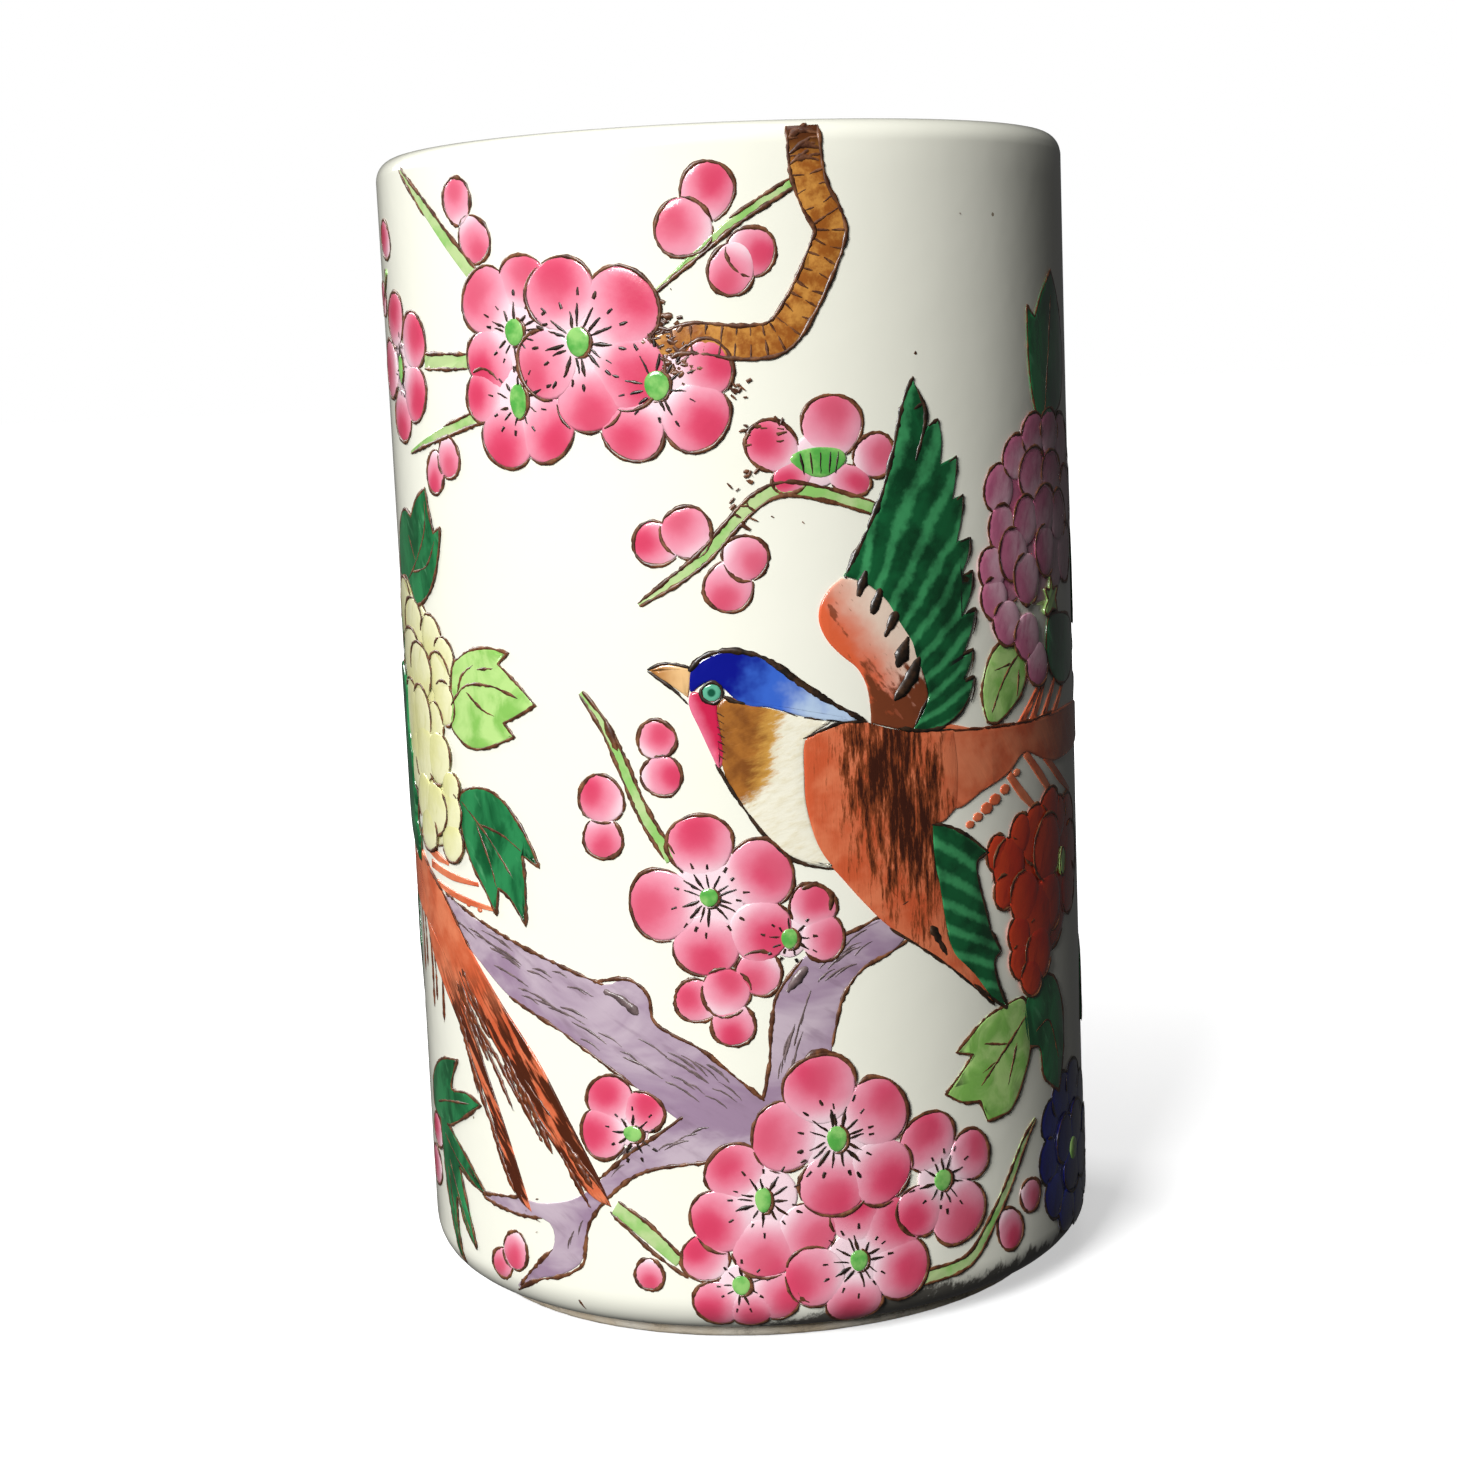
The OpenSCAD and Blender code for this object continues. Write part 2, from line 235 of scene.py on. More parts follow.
pot_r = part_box("outer_glaze")[1].x * MM
pot_top = cad_high.z * MM
clay_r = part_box("pot_wall")[1].x * MM
glaze_t = pot_r - clay_r
lip_centre_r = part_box("inner_glaze")[1].x * MM
lip_r = pot_r - lip_centre_r
lip_z = pot_top - lip_r
bore_r = lip_centre_r - lip_r
floor_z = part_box("base_slab")[1].z * MM
heel_r = 4.3
heel_z = foot_top - glaze_t + heel_r
heel_centre_r = pot_r - heel_r
floor_bend = 1.6


def unevenness(angle, up):
    """How far the glaze stands off a true cylinder, in millimetres."""
    return (0.025 * np.sin(3 * angle + 0.4 + up / 31) + 0.02 * np.sin(7 * angle - up / 17)
            + 0.02 * np.sin(up / 9 + 2 * np.sin(2 * angle)))


def make_uneven(piece):
    for vertex in piece.data.vertices:
        out = math.hypot(vertex.co.x, vertex.co.y)
        if out > 1 and heel_z < vertex.co.z < lip_z:
            angle = math.atan2(vertex.co.x, -vertex.co.y)
            vertex.co.xy *= 1 + unevenness(angle, vertex.co.z) / out


outside_section = (arc((heel_centre_r, heel_z), heel_r, -90, 0, 10)
                   + ladder((pot_r, heel_z), (pot_r, lip_z))
                   + arc((lip_centre_r, lip_z), lip_r, 0, 90, 10)
                   + arc((lip_centre_r, lip_z), lip_r - glaze_t, 90, 0, 10)
                   + ladder((clay_r, lip_z), (clay_r, heel_z))
                   + arc((heel_centre_r, heel_z), heel_r - glaze_t, 0, -90, 10)
                   + [(foot_r, foot_top), (foot_r, foot_top - glaze_t)])
inside_section = (arc((lip_centre_r, lip_z), lip_r, 90, 180, 10)
                  + ladder((bore_r, lip_z), (bore_r, floor_z + glaze_t + floor_bend))
                  + arc((bore_r - floor_bend, floor_z + glaze_t + floor_bend), floor_bend, 0, -90, 6)
                  + ladder((bore_r - floor_bend, floor_z + glaze_t), (0, floor_z + glaze_t), 4)
                  + [(0, floor_z + glaze_t), (0, floor_z)]
                  + arc((bore_r - floor_bend, floor_z + glaze_t + floor_bend),
                        floor_bend + glaze_t, -90, 0, 6)
                  + arc((lip_centre_r, lip_z), lip_r - glaze_t, 180, 90, 10))
under_section = [(0, foot_top), (0, foot_top - glaze_t), (foot_bore_r * 0.5, foot_top - glaze_t),
                 (foot_bore_r, foot_top - glaze_t), (foot_bore_r, foot_top)]

clear_glaze = Recipe("clear_glaze", roughness=0.12, coat=0.5, coat_roughness=0.04)
cloud = clear_glaze.noise(0.035, detail=3)
speck_inputs = [("Vector", clear_glaze.place()), ("Scale", 0.085)]
speck = clear_glaze.step("TexVoronoi", speck_inputs).outputs
speck_size = clear_glaze.noise(0.3, detail=4)
speck_edge = clear_glaze.sum("MULTIPLY_ADD", speck_size, 0.08, -0.022)
in_speck = clear_glaze.sum("LESS_THAN", speck["Distance"], speck_edge)
milk = clear_glaze.mix(cloud, srgb(251, 250, 236), srgb(245, 245, 229))
specked = clear_glaze.mix(in_speck, milk, srgb(150, 138, 116))
right, back, height = clear_glaze.split(clear_glaze.place())
# A dark band round the bottom edge of the glaze, broken up by grain, reaching higher on the right-hand
# side and lower on the left, and rougher where it lies.
band_grain = clear_glaze.noise(0.9, detail=8, rough=0.8)
band_reach = clear_glaze.noise(0.5, detail=6, rough=0.7, stretch=(1, 1, 0.3))
band_top = clear_glaze.sum("MULTIPLY_ADD", band_reach, 6.0, 1.7)
band_fade_left = clear_glaze.between(right, -6, 12, -3.2, 0.0)
band_top = clear_glaze.sum("ADD", band_top, band_fade_left)
under_top = clear_glaze.between(clear_glaze.sum("SUBTRACT", band_top, height), -0.5, 0.5)
band_hold = clear_glaze.between(band_grain, 0.24, 0.42)
dark_band = clear_glaze.sum("MULTIPLY", clear_glaze.sum("MULTIPLY", under_top, band_hold), 0.92)
on_heel = clear_glaze.between(clear_glaze.far(right, back), foot_bore_r, foot_r)
dark_band = clear_glaze.sum("MULTIPLY", dark_band, on_heel)
clear_glaze.colour(clear_glaze.mix(dark_band, specked, srgb(52, 45, 38)))
pinholes = clear_glaze.noise(0.16, detail=2)
clear_glaze.bump(pinholes, 0.05)
rubbed = clear_glaze.noise(0.5, detail=6, rough=0.7, stretch=(1, 1, 0.2))
dull = clear_glaze.between(rubbed, 0.45, 0.8, 0.08, 0.22)
clear_glaze.rough(clear_glaze.sum("MULTIPLY_ADD", dark_band, 0.5, dull))

for piece_name, section, node_name in (("glaze_outside", outside_section, "outer_glaze"),
                                       ("glaze_inside", inside_section, "inner_glaze"),
                                       ("glaze_under", under_section, "base_glaze")):
    coat = turn_on_wheel(piece_name, section)
    make_uneven(coat)
    shrink_to_metres(coat)
    clad(coat, clear_glaze)
    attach(coat, "root")
    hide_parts(node_name)

# ---- The brown bough ----
# Overglaze enamel laid with a loaded brush: an ochre-brown bough that comes down over the lip, with
# dark ticks across it for bark. The painter works flat: along from the front, and up from the table.

enamel_thick = 0.2
enamel_base = 0.06
stray = 5
strip_gap = 2.0
bend_cuts = (1.2, 2.0, 2.8, 3.8, 5.0, 117.7, 118.3, 118.8, 119.2, 119.5)


def skin_radius(up):
    """The glaze's radius at a height, round the heel and the lip too."""
    heel_fall = np.clip(heel_z - up, 0, heel_r)
    lip_rise = np.clip(up - lip_z, 0, lip_r)
    return (pot_r - heel_r + np.sqrt(heel_r ** 2 - heel_fall ** 2)
            - lip_r + np.sqrt(lip_r ** 2 - lip_rise ** 2))


def note_place(piece, map_name):
    """Keeps the flat place of every point, along and up, as a UV map in hundreds of millimetres."""
    mesh = piece.data
    flat = np.empty(len(mesh.vertices) * 3)
    mesh.vertices.foreach_get("co", flat)
    corner = np.empty(len(mesh.loops), dtype=int)
    mesh.loops.foreach_get("vertex_index", corner)
    spots = flat.reshape(-1, 3)[corner][:, (0, 2)] / 100
    mesh.uv_layers.new(name=map_name).data.foreach_set("uv", spots.ravel())


def roll_on(piece):
    """Rolls a flat painted sheet, x along, -y out of the glaze, z up, round the pot."""
    note_place(piece, "sheet")
    mesh = piece.data
    flat = np.empty(len(mesh.vertices) * 3)
    mesh.vertices.foreach_get("co", flat)
    along, depth, up = flat.reshape(-1, 3).T
    angle = along / pot_r
    radius = skin_radius(up) + unevenness(angle, up) - depth
    round_pot = np.column_stack([radius * np.sin(angle), -radius * np.cos(angle), up])
    mesh.vertices.foreach_set("co", (round_pot / MM).ravel())
    mesh.update()


def join_up(pieces, name):
    bpy.ops.object.select_all(action="DESELECT")
    for piece in pieces:
        piece.select_set(True)
    bpy.context.view_layer.objects.active = pieces[0]
    bpy.ops.object.join()
    pieces[0].name = pieces[0].data.name = name
    return pieces[0]


def drawn_line(points, closed=False, step=0.5):
    """A smooth line through the points. A point with a third value is a sharp corner."""
    count = len(points)
    spot = [np.array(p[:2], float) for p in points]
    sharp = [len(p) > 2 for p in points]
    line = []
    for i in range(count if closed else count - 1):
        j = (i + 1) % count
        start, end = spot[i], spot[j]
        before = start if sharp[i] or (i == 0 and not closed) else spot[i - 1]
        after = end if sharp[j] or (j == count - 1 and not closed) else spot[(j + 1) % count]
        pieces = max(1, round(math.dist(start, end) / step))
        for k in range(pieces):
            t = k / pieces
            line.append(0.5 * (2 * start + (end - before) * t
                               + (2 * before - 5 * start + 4 * end - after) * t * t
                               + (3 * start - before - 3 * end + after) * t ** 3))
    if not closed:
        line.append(spot[-1])
    return line


def ribbon_sides(spots):
    """The two edges of a brush stroke, whose spots are along, up and width."""
    middle = np.array(drawn_line([s[:2] for s in spots], step=0.7))
    travel = np.cumsum([0] + [math.dist(a, b) for a, b in zip(middle, middle[1:])])
    at_spots = [travel[np.argmin(np.hypot(*(middle - s[:2]).T))] for s in spots]
    half = np.interp(travel, at_spots, [s[2] / 2 for s in spots])[:, None]
    ahead = np.gradient(middle, axis=0)
    ahead /= np.linalg.norm(ahead, axis=1)[:, None]
    aside = np.column_stack([-ahead[:, 1], ahead[:, 0]])
    return middle + aside * half, middle - aside * half


def ribbon(spots):
    left, right = ribbon_sides(spots)
    return list(left) + list(right[::-1])


def ring(along, up, half_wide, half_tall, angles):
    return [(along + half_wide * math.sin(a), up + half_tall * math.cos(a)) for a in angles]


def own_copy(piece):
    """A copy that has its own mesh."""
    copy = piece.copy()
    copy.data = piece.data.copy()
    bpy.context.collection.objects.link(copy)
    return copy


def cut_into_strips(piece):
    """Cuts a flat patch across every two millimetres, so that it bends round the pot."""
    along = [vertex.co.x for vertex in piece.data.vertices]
    select_only(piece)
    bpy.ops.object.mode_set(mode="EDIT")
    for at in np.arange(min(along) + 1, max(along), strip_gap):
        bpy.ops.mesh.select_all(action="SELECT")
        bpy.ops.mesh.bisect(plane_co=(at, 0, 0), plane_no=(1, 0, 0))
    bpy.ops.object.mode_set(mode="OBJECT")


def enamel_patch(outline, thick=enamel_thick, rim=0.1, name=None):
    """A flat drop of enamel: the outline filled, raised out of the glaze and rounded at its rim."""
    bpy.ops.object.select_all(action="DESELECT")
    bpy.ops.mesh.primitive_circle_add(vertices=len(outline), radius=1, fill_type="NGON")
    piece = bpy.context.object
    for vertex, (along, up) in zip(piece.data.vertices, outline):
        vertex.co = (along, enamel_base, up)
    spread = np.array(outline)
    low, high = spread.min(axis=0), spread.max(axis=0)
    bpy.ops.object.mode_set(mode="EDIT")
    bpy.ops.mesh.select_all(action="SELECT")
    bpy.ops.mesh.extrude_region_move(
        TRANSFORM_OT_translate={"value": (0, -enamel_base - 0.55 * thick, 0)})
    for inset, rise in ((rim, 0.3 * thick), (1.5 * rim, 0.15 * thick)):
        bpy.ops.mesh.inset(thickness=inset, depth=0)
        bpy.ops.transform.translate(value=(0, -rise, 0))
    bpy.ops.object.mode_set(mode="OBJECT")
    for vertex in piece.data.vertices:
        away = np.hypot(spread[:, 0] - vertex.co.x, spread[:, 1] - vertex.co.z)
        if away.min() > stray * rim:
            vertex.co.xz = spread[away.argmin()]
    bpy.ops.object.mode_set(mode="EDIT")
    bpy.ops.mesh.select_all(action="SELECT")
    bpy.ops.mesh.quads_convert_to_tris(ngon_method="CLIP")
    cuts = [((at, 0, 0), (1, 0, 0)) for at in np.arange(low[0] + 1, high[0], strip_gap)]
    cuts += [((0, 0, at), (0, 0, 1)) for at in (*bend_cuts, *range(10, 117, 5)) if low[1] < at < high[1]]
    for spot, way in cuts:
        bpy.ops.mesh.select_all(action="SELECT")
        bpy.ops.mesh.bisect(plane_co=spot, plane_no=way)
    bpy.ops.mesh.select_all(action="SELECT")
    bpy.ops.mesh.normals_make_consistent(inside=False)
    bpy.ops.object.mode_set(mode="OBJECT")
    faces = piece.data.polygons
    if sum(face.center.y * face.normal.y * face.area for face in faces) < 0:
        piece.data.flip_normals()
    bpy.ops.object.shade_smooth()
    if name:
        note_place(piece, name)
    return piece


def fire_on(patches, name, finish, slot, *nodes):
    """Joins the flat patches, rolls them on, and hands the piece to the frame."""
    piece = join_up(patches, name)
    roll_on(piece)
    clad(piece, finish)
    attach(piece, "root")
    if nodes:
        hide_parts(*nodes)
    return piece


def brushed(line, width, closed, wobble, ragged):
    """The line's points nudged about, with the brush's width at each."""
    phase = random.uniform(0, 6)
    last = len(line) - 1
    stroke = []
    for i, spot in enumerate(line):
        press = 1 + 0.25 * math.sin(0.55 * i + phase) + random.uniform(-ragged, ragged)
        if not closed:
            press *= min(1.0, 0.35 + 0.3 * i, 0.25 + 0.25 * (last - i))
        nudge = (random.uniform(-wobble, wobble), random.uniform(-wobble, wobble))
        stroke.append((spot[0] + nudge[0], spot[1] + nudge[1], max(0.15, press) * width))
    return stroke


def draw_ink(name, jobs, finish, slot, seed, wobble=0.035, ragged=0.25, flatness=0.16):
    """Draws strokes as thin ridges. A job is points, width, rise and, for a closed stroke, True."""
    random.seed(seed)
    drawing = bpy.data.curves.new(name, "CURVE")
    drawing.dimensions = "3D"
    drawing.bevel_depth = 0.5
    drawing.bevel_resolution = 1
    drawing.use_fill_caps = True
    for points, width, rise, *closed in jobs:
        closed = bool(closed)
        stroke = brushed(drawn_line(points, closed, 0.4), width, closed, wobble, ragged)
        spline = drawing.splines.new("POLY")
        spline.points.add(len(stroke) - 1)
        spline.use_cyclic_u = closed
        flat = [c for along, up, _ in stroke for c in (along, -rise / flatness, up, 1)]
        spline.points.foreach_set("co", flat)
        spline.points.foreach_set("radius", [press for _, _, press in stroke])
    piece = bpy.data.objects.new(name, drawing)
    bpy.context.collection.objects.link(piece)
    select_only(piece)
    bpy.ops.object.convert(target="MESH")
    piece = bpy.context.object
    piece.data.transform(Matrix.Diagonal((1, flatness, 1, 1)))
    bpy.ops.object.shade_smooth()
    return fire_on([piece], name, finish, slot)


def ink_finish(name, dark, thin):
    """Iron pigment under a film of glaze: dark where the brush was full, thin where it ran dry."""
    finish = Recipe(name, roughness=0.4, coat=0.3, coat_roughness=0.15)
    load = finish.noise(0.8, detail=5, rough=0.7)
    finish.colour(finish.shade(load, 0.38, 0.7, dark, thin))
    finish.bump(load, 0.03)
    return finish


brown_ink = ink_finish("brown_ink", srgb(74, 40, 24), srgb(136, 88, 56))
black_ink = ink_finish("black_ink", srgb(28, 20, 14), srgb(74, 50, 32))
bark_ink = ink_finish("bark_ink", srgb(92, 76, 76), srgb(132, 112, 112))
on_enamel = enamel_thick + 0.01

front_bough = [
    (8.1, 119.3, 3.1), (8.3, 115, 3.2), (9.3, 112.1, 3.2), (10.4, 109.6, 3.1), (8.8, 105.6, 3.1),
    (6.9, 102.2, 3.1), (4.9, 99.9, 3.2), (1.6, 99.5, 3.1), (-3.2, 100.1, 2.8), (-6.6, 99.4, 2)]
back_bough = [
    (100, 117.6, 2.6), (97, 110, 2.7), (92, 105, 2.7), (90, 98, 2.7), (82, 95, 2.5), (76, 94, 1.6)]
bark_ticks = []
bough_edges = []
random.seed(3)
for spots in (front_bough, back_bough):
    left, right = ribbon_sides(spots)
    for edge in (left, right):
        bough_edges.append(([tuple(p) for p in edge[::2]], 0.4, on_enamel))
    for i in range(2, len(left) - 2, 2):
        reach = random.uniform(0.28, 0.5)
        slant = random.uniform(-0.3, 0.3)
        for start, end in ((left[i], right[i]), (right[i], left[i])):
            tip = start + (end - start) * reach + (0, slant)
            bark_ticks.append(([tuple(start), tuple(tip)], 0.36, on_enamel))
for along, up, size in ((8.1, 118.6, 1.6), (8.2, 117.2, 1.2), (8.0, 116.1, 0.7)):
    for k in (-0.5, 0, 0.5):
        bark_ticks.append(([(along - 1 + k, up + k), (along + 1 + k, up + 0.4 - k)], 0.6, on_enamel))

brown_enamel = Recipe("brown_enamel", roughness=0.28, coat=0.6, coat_roughness=0.08)
bark_pool = brown_enamel.noise(0.55, detail=5, rough=0.65)
ochre = brown_enamel.shade(bark_pool, 0.35, 0.62, srgb(206, 144, 66), srgb(154, 88, 30))
bough_up = brown_enamel.split(brown_enamel.place())[2]
burnt = brown_enamel.between(bough_up, 115.5, 118.5)
brown_enamel.colour(brown_enamel.mix(burnt, ochre, srgb(84, 42, 14)))
brown_enamel.bump(bark_pool, 0.06)
fire_on([enamel_patch(ribbon(front_bough)), enamel_patch(ribbon(back_bough))],
        "brown_boughs_laid", brown_enamel, "brown_enamel", "brown_boughs")
draw_ink("brown_bough_ink", bough_edges + bark_ticks, brown_ink, "black_enamel", 31, ragged=0.4)

# ---- The lilac boughs ----
# The old trunk low on the wall, washed in a thin lilac enamel that lets its drawing show through:
# a broken outline, knots, and long fine strokes along the grain.

wash_thick = 0.07
on_wash = wash_thick + 0.01
lilac_main = [
    (-38, 44.5), (-33, 42.8), (-26, 41), (-20, 39.3), (-15, 37.6), (-13, 38.3), (-11.5, 37.9),
    (-10.3, 36.6), (-9.9, 34.2), (-8, 32.8), (-5.5, 31.5), (-2.5, 29), (0.6, 26.3, 1), (1.4, 30),
    (1.7, 33.5), (2.5, 36.8), (5, 40), (8.6, 41.8), (13.6, 43.4, 1), (15.8, 41, 1), (14.2, 39.8),
    (11, 38.4), (9, 36), (8.2, 33.4), (7.5, 30), (7.5, 24), (4, 22), (1, 21), (-2, 20.8), (-5, 20),
    (-10, 19.2), (-13, 18), (-16, 15.4), (-17.8, 13), (-18.6, 10.5), (-19.4, 8.4), (-22, 6.8),
    (-25, 5.8), (-28.4, 3.7), (-28.5, 4.3), (-25, 7.4), (-22.8, 9.4), (-22.6, 11.5), (-24, 12.4),
    (-28, 12.2), (-33.2, 12.8), (-33.2, 13.4), (-27, 14), (-24, 14), (-20, 15), (-17.2, 16.8),
    (-15.4, 18.6), (-13, 20.6), (-10, 22.5), (-8, 24.3, 1), (-12, 27.3), (-15.5, 29.6), (-20, 32.3),
    (-23, 33.6), (-27, 35.2), (-31, 37.8), (-35, 40.5)]
lilac_back = [
    (-113, 10), (-100, 15), (-92, 14), (-84, 20), (-79, 27), (-77, 31, 1), (-80, 32, 1), (-88, 25),
    (-96, 22), (-106, 24), (-113, 20)]
lilac_edges = (
    [(-38, 44.5), (-26, 41), (-15, 37.6)],
    [(-16, 37.8), (-13, 38.3), (-11.5, 37.9), (-10.3, 36.6), (-9.9, 34.2), (-8, 32.8), (-5.5, 31.5),
     (-2.5, 29), (0.8, 26)], [(0.6, 26), (1.4, 30), (1.7, 33.5), (2.5, 36.8), (5, 40)],
    [(8.6, 41.8), (11, 42.6), (13.6, 43.4), (15.8, 41.2)],
    [(16.5, 41), (14.2, 39.8), (11, 38.4), (9, 36), (8.2, 33.4), (7.6, 31)],
    [(-27, 35.2), (-23, 33.6), (-20, 32.3), (-15.5, 29.6), (-12, 27.3)],
    [(-7.4, 24.5), (-10, 22.6), (-13, 20.6), (-15.4, 18.6), (-18.4, 16.2)],
    [(-1, 20.9), (-5, 20), (-10, 19.2), (-13, 18), (-16, 15.4), (-18, 12.8), (-18.6, 10.5),
     (-19.2, 8.2), (-22, 6.6), (-25, 5.7), (-28.9, 3.6)], [(-28, 4.4), (-25, 7.4), (-22.8, 9.4)],
    [(-24, 12.4), (-28, 12.2), (-33.5, 13), (-27, 14.1)],
    [(-113, 10), (-100, 15), (-92, 14), (-84, 20), (-79, 27)],
    [(-80, 32), (-88, 25), (-96, 22), (-106, 24), (-113, 20)])
grain_ways = [
    ((-36, 42.4), (-24, 38.6)), ((-33, 40.6), (-20, 36.4)), ((-24, 38.8), (-14, 36)),
    ((-28, 37.2), (-16, 33.6)), ((-19, 33.6), (-9, 28.6)), ((-13, 33.4), (-3, 27)),
    ((-10, 29.5), (-2, 24.6)), ((-7, 30.6), (-0.5, 25)), ((-12, 22), (-17, 17.4)),
    ((-5, 23), (-12, 20)), ((2.6, 27), (4.6, 36)), ((3.2, 28), (6.5, 38)), ((5, 37), (12, 41.6)),
    ((7, 38), (14, 41.4)), ((-18.5, 14), (-20.5, 9)), ((-92, 18), (-104, 19)), ((-82, 26), (-90, 20))]
random.seed(5)
grain_strokes = []
for start, end in grain_ways:
    for _ in range(5):
        slide = random.uniform(0, 0.6)
        drift = np.array((random.uniform(-1.3, 1.3), random.uniform(-0.9, 0.9)))
        a, b = np.array(start), np.array(end)
        first = a + (b - a) * slide + drift
        last = first + (b - a) * random.uniform(0.18, 0.42)
        bow = (first + last) / 2 + (0, 0.25)
        grain_strokes.append(([tuple(first), tuple(bow), tuple(last)], 0.24, on_wash))
knots = [
    ([(-15, 37), (-13.2, 36.2), (-11.4, 34.8)], 1.0, on_wash),
    ([(3.4, 36.8), (4.4, 38), (5.4, 39.2)], 1.3, on_wash), ([(-94, 20), (-92, 19)], 0.9, on_wash)]

lilac_enamel = Recipe("lilac_enamel", roughness=0.25, coat=0.6, coat_roughness=0.07)
wash = lilac_enamel.noise(0.16, detail=4, swirl=0.6, stretch=(0.5, 0.5, 1))
streak = lilac_enamel.noise(1.6, detail=4, stretch=(0.12, 0.5, 1), turn=32, uv="sheet")
lilac = lilac_enamel.shade(wash, 0.35, 0.62, srgb(196, 178, 190), srgb(158, 132, 156))
lilac_enamel.colour(lilac_enamel.mix(lilac_enamel.between(streak, 0.52, 0.75, 0, 0.5), lilac,
                                     srgb(134, 110, 128)))
lilac_enamel.bump(streak, 0.05)
fire_on([enamel_patch(drawn_line(points, True, 0.8), wash_thick) for points in (lilac_main, lilac_back)],
        "lilac_boughs_laid", lilac_enamel, "lilac_enamel", "lilac_boughs")
draw_ink("lilac_bough_ink", [(line, 0.42, 0.07) for line in lilac_edges], brown_ink,
         "black_enamel", 32, ragged=0.45)
draw_ink("lilac_bough_grain", grain_strokes + knots, bark_ink, "umber_enamel", 33, ragged=0.35)

# ---- Green stems ----
# Young shoots in one pale yellow-green stroke each, with a dark line down one side and a dry,
# pointed tip.

stem_thick = 0.13
on_stem = stem_thick + 0.01
stems = [
    [(-38.9, 118.2, 0.4), (-34, 114.2, 1.2), (-30, 110.5, 1.4), (-26.3, 107, 1.5)],
    [(-35.4, 99, 1.5), (-31, 98.9, 1.5), (-27.4, 98.8, 1.4)],
    [(-25.8, 93.6, 1.3), (-33, 91.8, 1.1), (-40.2, 89.9, 0.3)], [(-46, 108.4, 0.8), (-50, 104, 0.5)],
    [(7, 114.1, 0.9), (4, 112.4, 0.9), (1.1, 110.6, 0.9), (-1.3, 108.7, 0.8), (-6.9, 104.2, 0.2)],
    [(-9.4, 75.1, 0.3), (-6, 77.2, 1.0), (-3, 79.4, 1.2), (-0.5, 82, 1.2), (2, 84.4, 1.3),
     (4.8, 85.6, 1.3), (9, 84.9, 1.2), (13.8, 83.3, 1.2)],
    [(-15.9, 66.6, 0.5), (-13.6, 63.4, 0.9), (-12, 60, 1.1), (-10, 55, 1.2), (-7.3, 50.2, 1.2)],
    [(-15, 14.8, 1.6), (-12, 12.8, 1.8), (-8.4, 9.6, 1.2)],
    [(16.5, 6, 1.5), (22, 6.6, 1.3), (25.5, 10, 1.1), (28, 13, 1.1), (31, 17, 0.8), (33.2, 18.8, 0.3)],
    [(67, 112, 0.4), (70, 107, 1.2), (73, 103, 1.3)], [(92, 84, 1.2), (90, 74, 1.1), (88.5, 70, 0.7)],
    [(104, 42, 1.2), (107, 52, 1.2), (109, 62, 1.1), (110, 65, 1.0)],
    [(-98, 36, 1.0), (-94, 41, 1.1), (-91, 45, 0.4)]]
stem_lines = []
for number, spots in enumerate(stems):
    left, right = ribbon_sides(spots)
    stem_lines.append(([tuple(p) for p in left[::2]], 0.42, on_stem))
    part = right[::2] if number in (1, 5, 6, 8) else right[:max(4, len(right) // 2):2]
    stem_lines.append(([tuple(p) for p in part], 0.38, on_stem))
stem_lines += [
    ([(-7.6, 8), (-11, 10.4), (-15.5, 14.3)], 0.45, 0.1),
    ([(-13.4, 64), (-12.4, 61.2), (-12.9, 63)], 0.7, on_stem)]

stem_enamel = Recipe("stem_enamel", roughness=0.2, coat=0.7, coat_roughness=0.05)
sap = stem_enamel.noise(0.3, detail=4)
stem_enamel.colour(stem_enamel.shade(sap, 0.38, 0.64, srgb(190, 214, 150), srgb(146, 200, 108)))
stem_enamel.bump(sap, 0.05)
fire_on([enamel_patch(ribbon(spots), stem_thick, 0.06) for spots in stems],
        "green_stems_laid", stem_enamel, "stem_enamel", "green_stems")
draw_ink("stem_ink", stem_lines, brown_ink, "black_enamel", 34, ragged=0.35)

# ---- Blossom petals ----
# Plum blossom and buds: each petal a drop of opaque white enamel with a crimson blush rubbed into
# it, palest at the heart. One brown line runs round each flower, petal by petal.

petal_swell = 0.04
petal_rim = 0.08
petal_base = 0.04
petal_sides = 24
covered = 0.93
line_outside = 0.05


def petal_spot(centre, size, heading, squash, a):
    """The point of a petal's rim at a turn from its tip. Its narrow end points at the heart."""
    turn = math.radians(heading)
    across = size * squash * math.sin(a) * (1 + 0.12 * math.cos(a))
    ahead = size * math.cos(a)
    return (centre[0] + across * math.cos(turn) + ahead * math.sin(turn),
            centre[1] - across * math.sin(turn) + ahead * math.cos(turn))


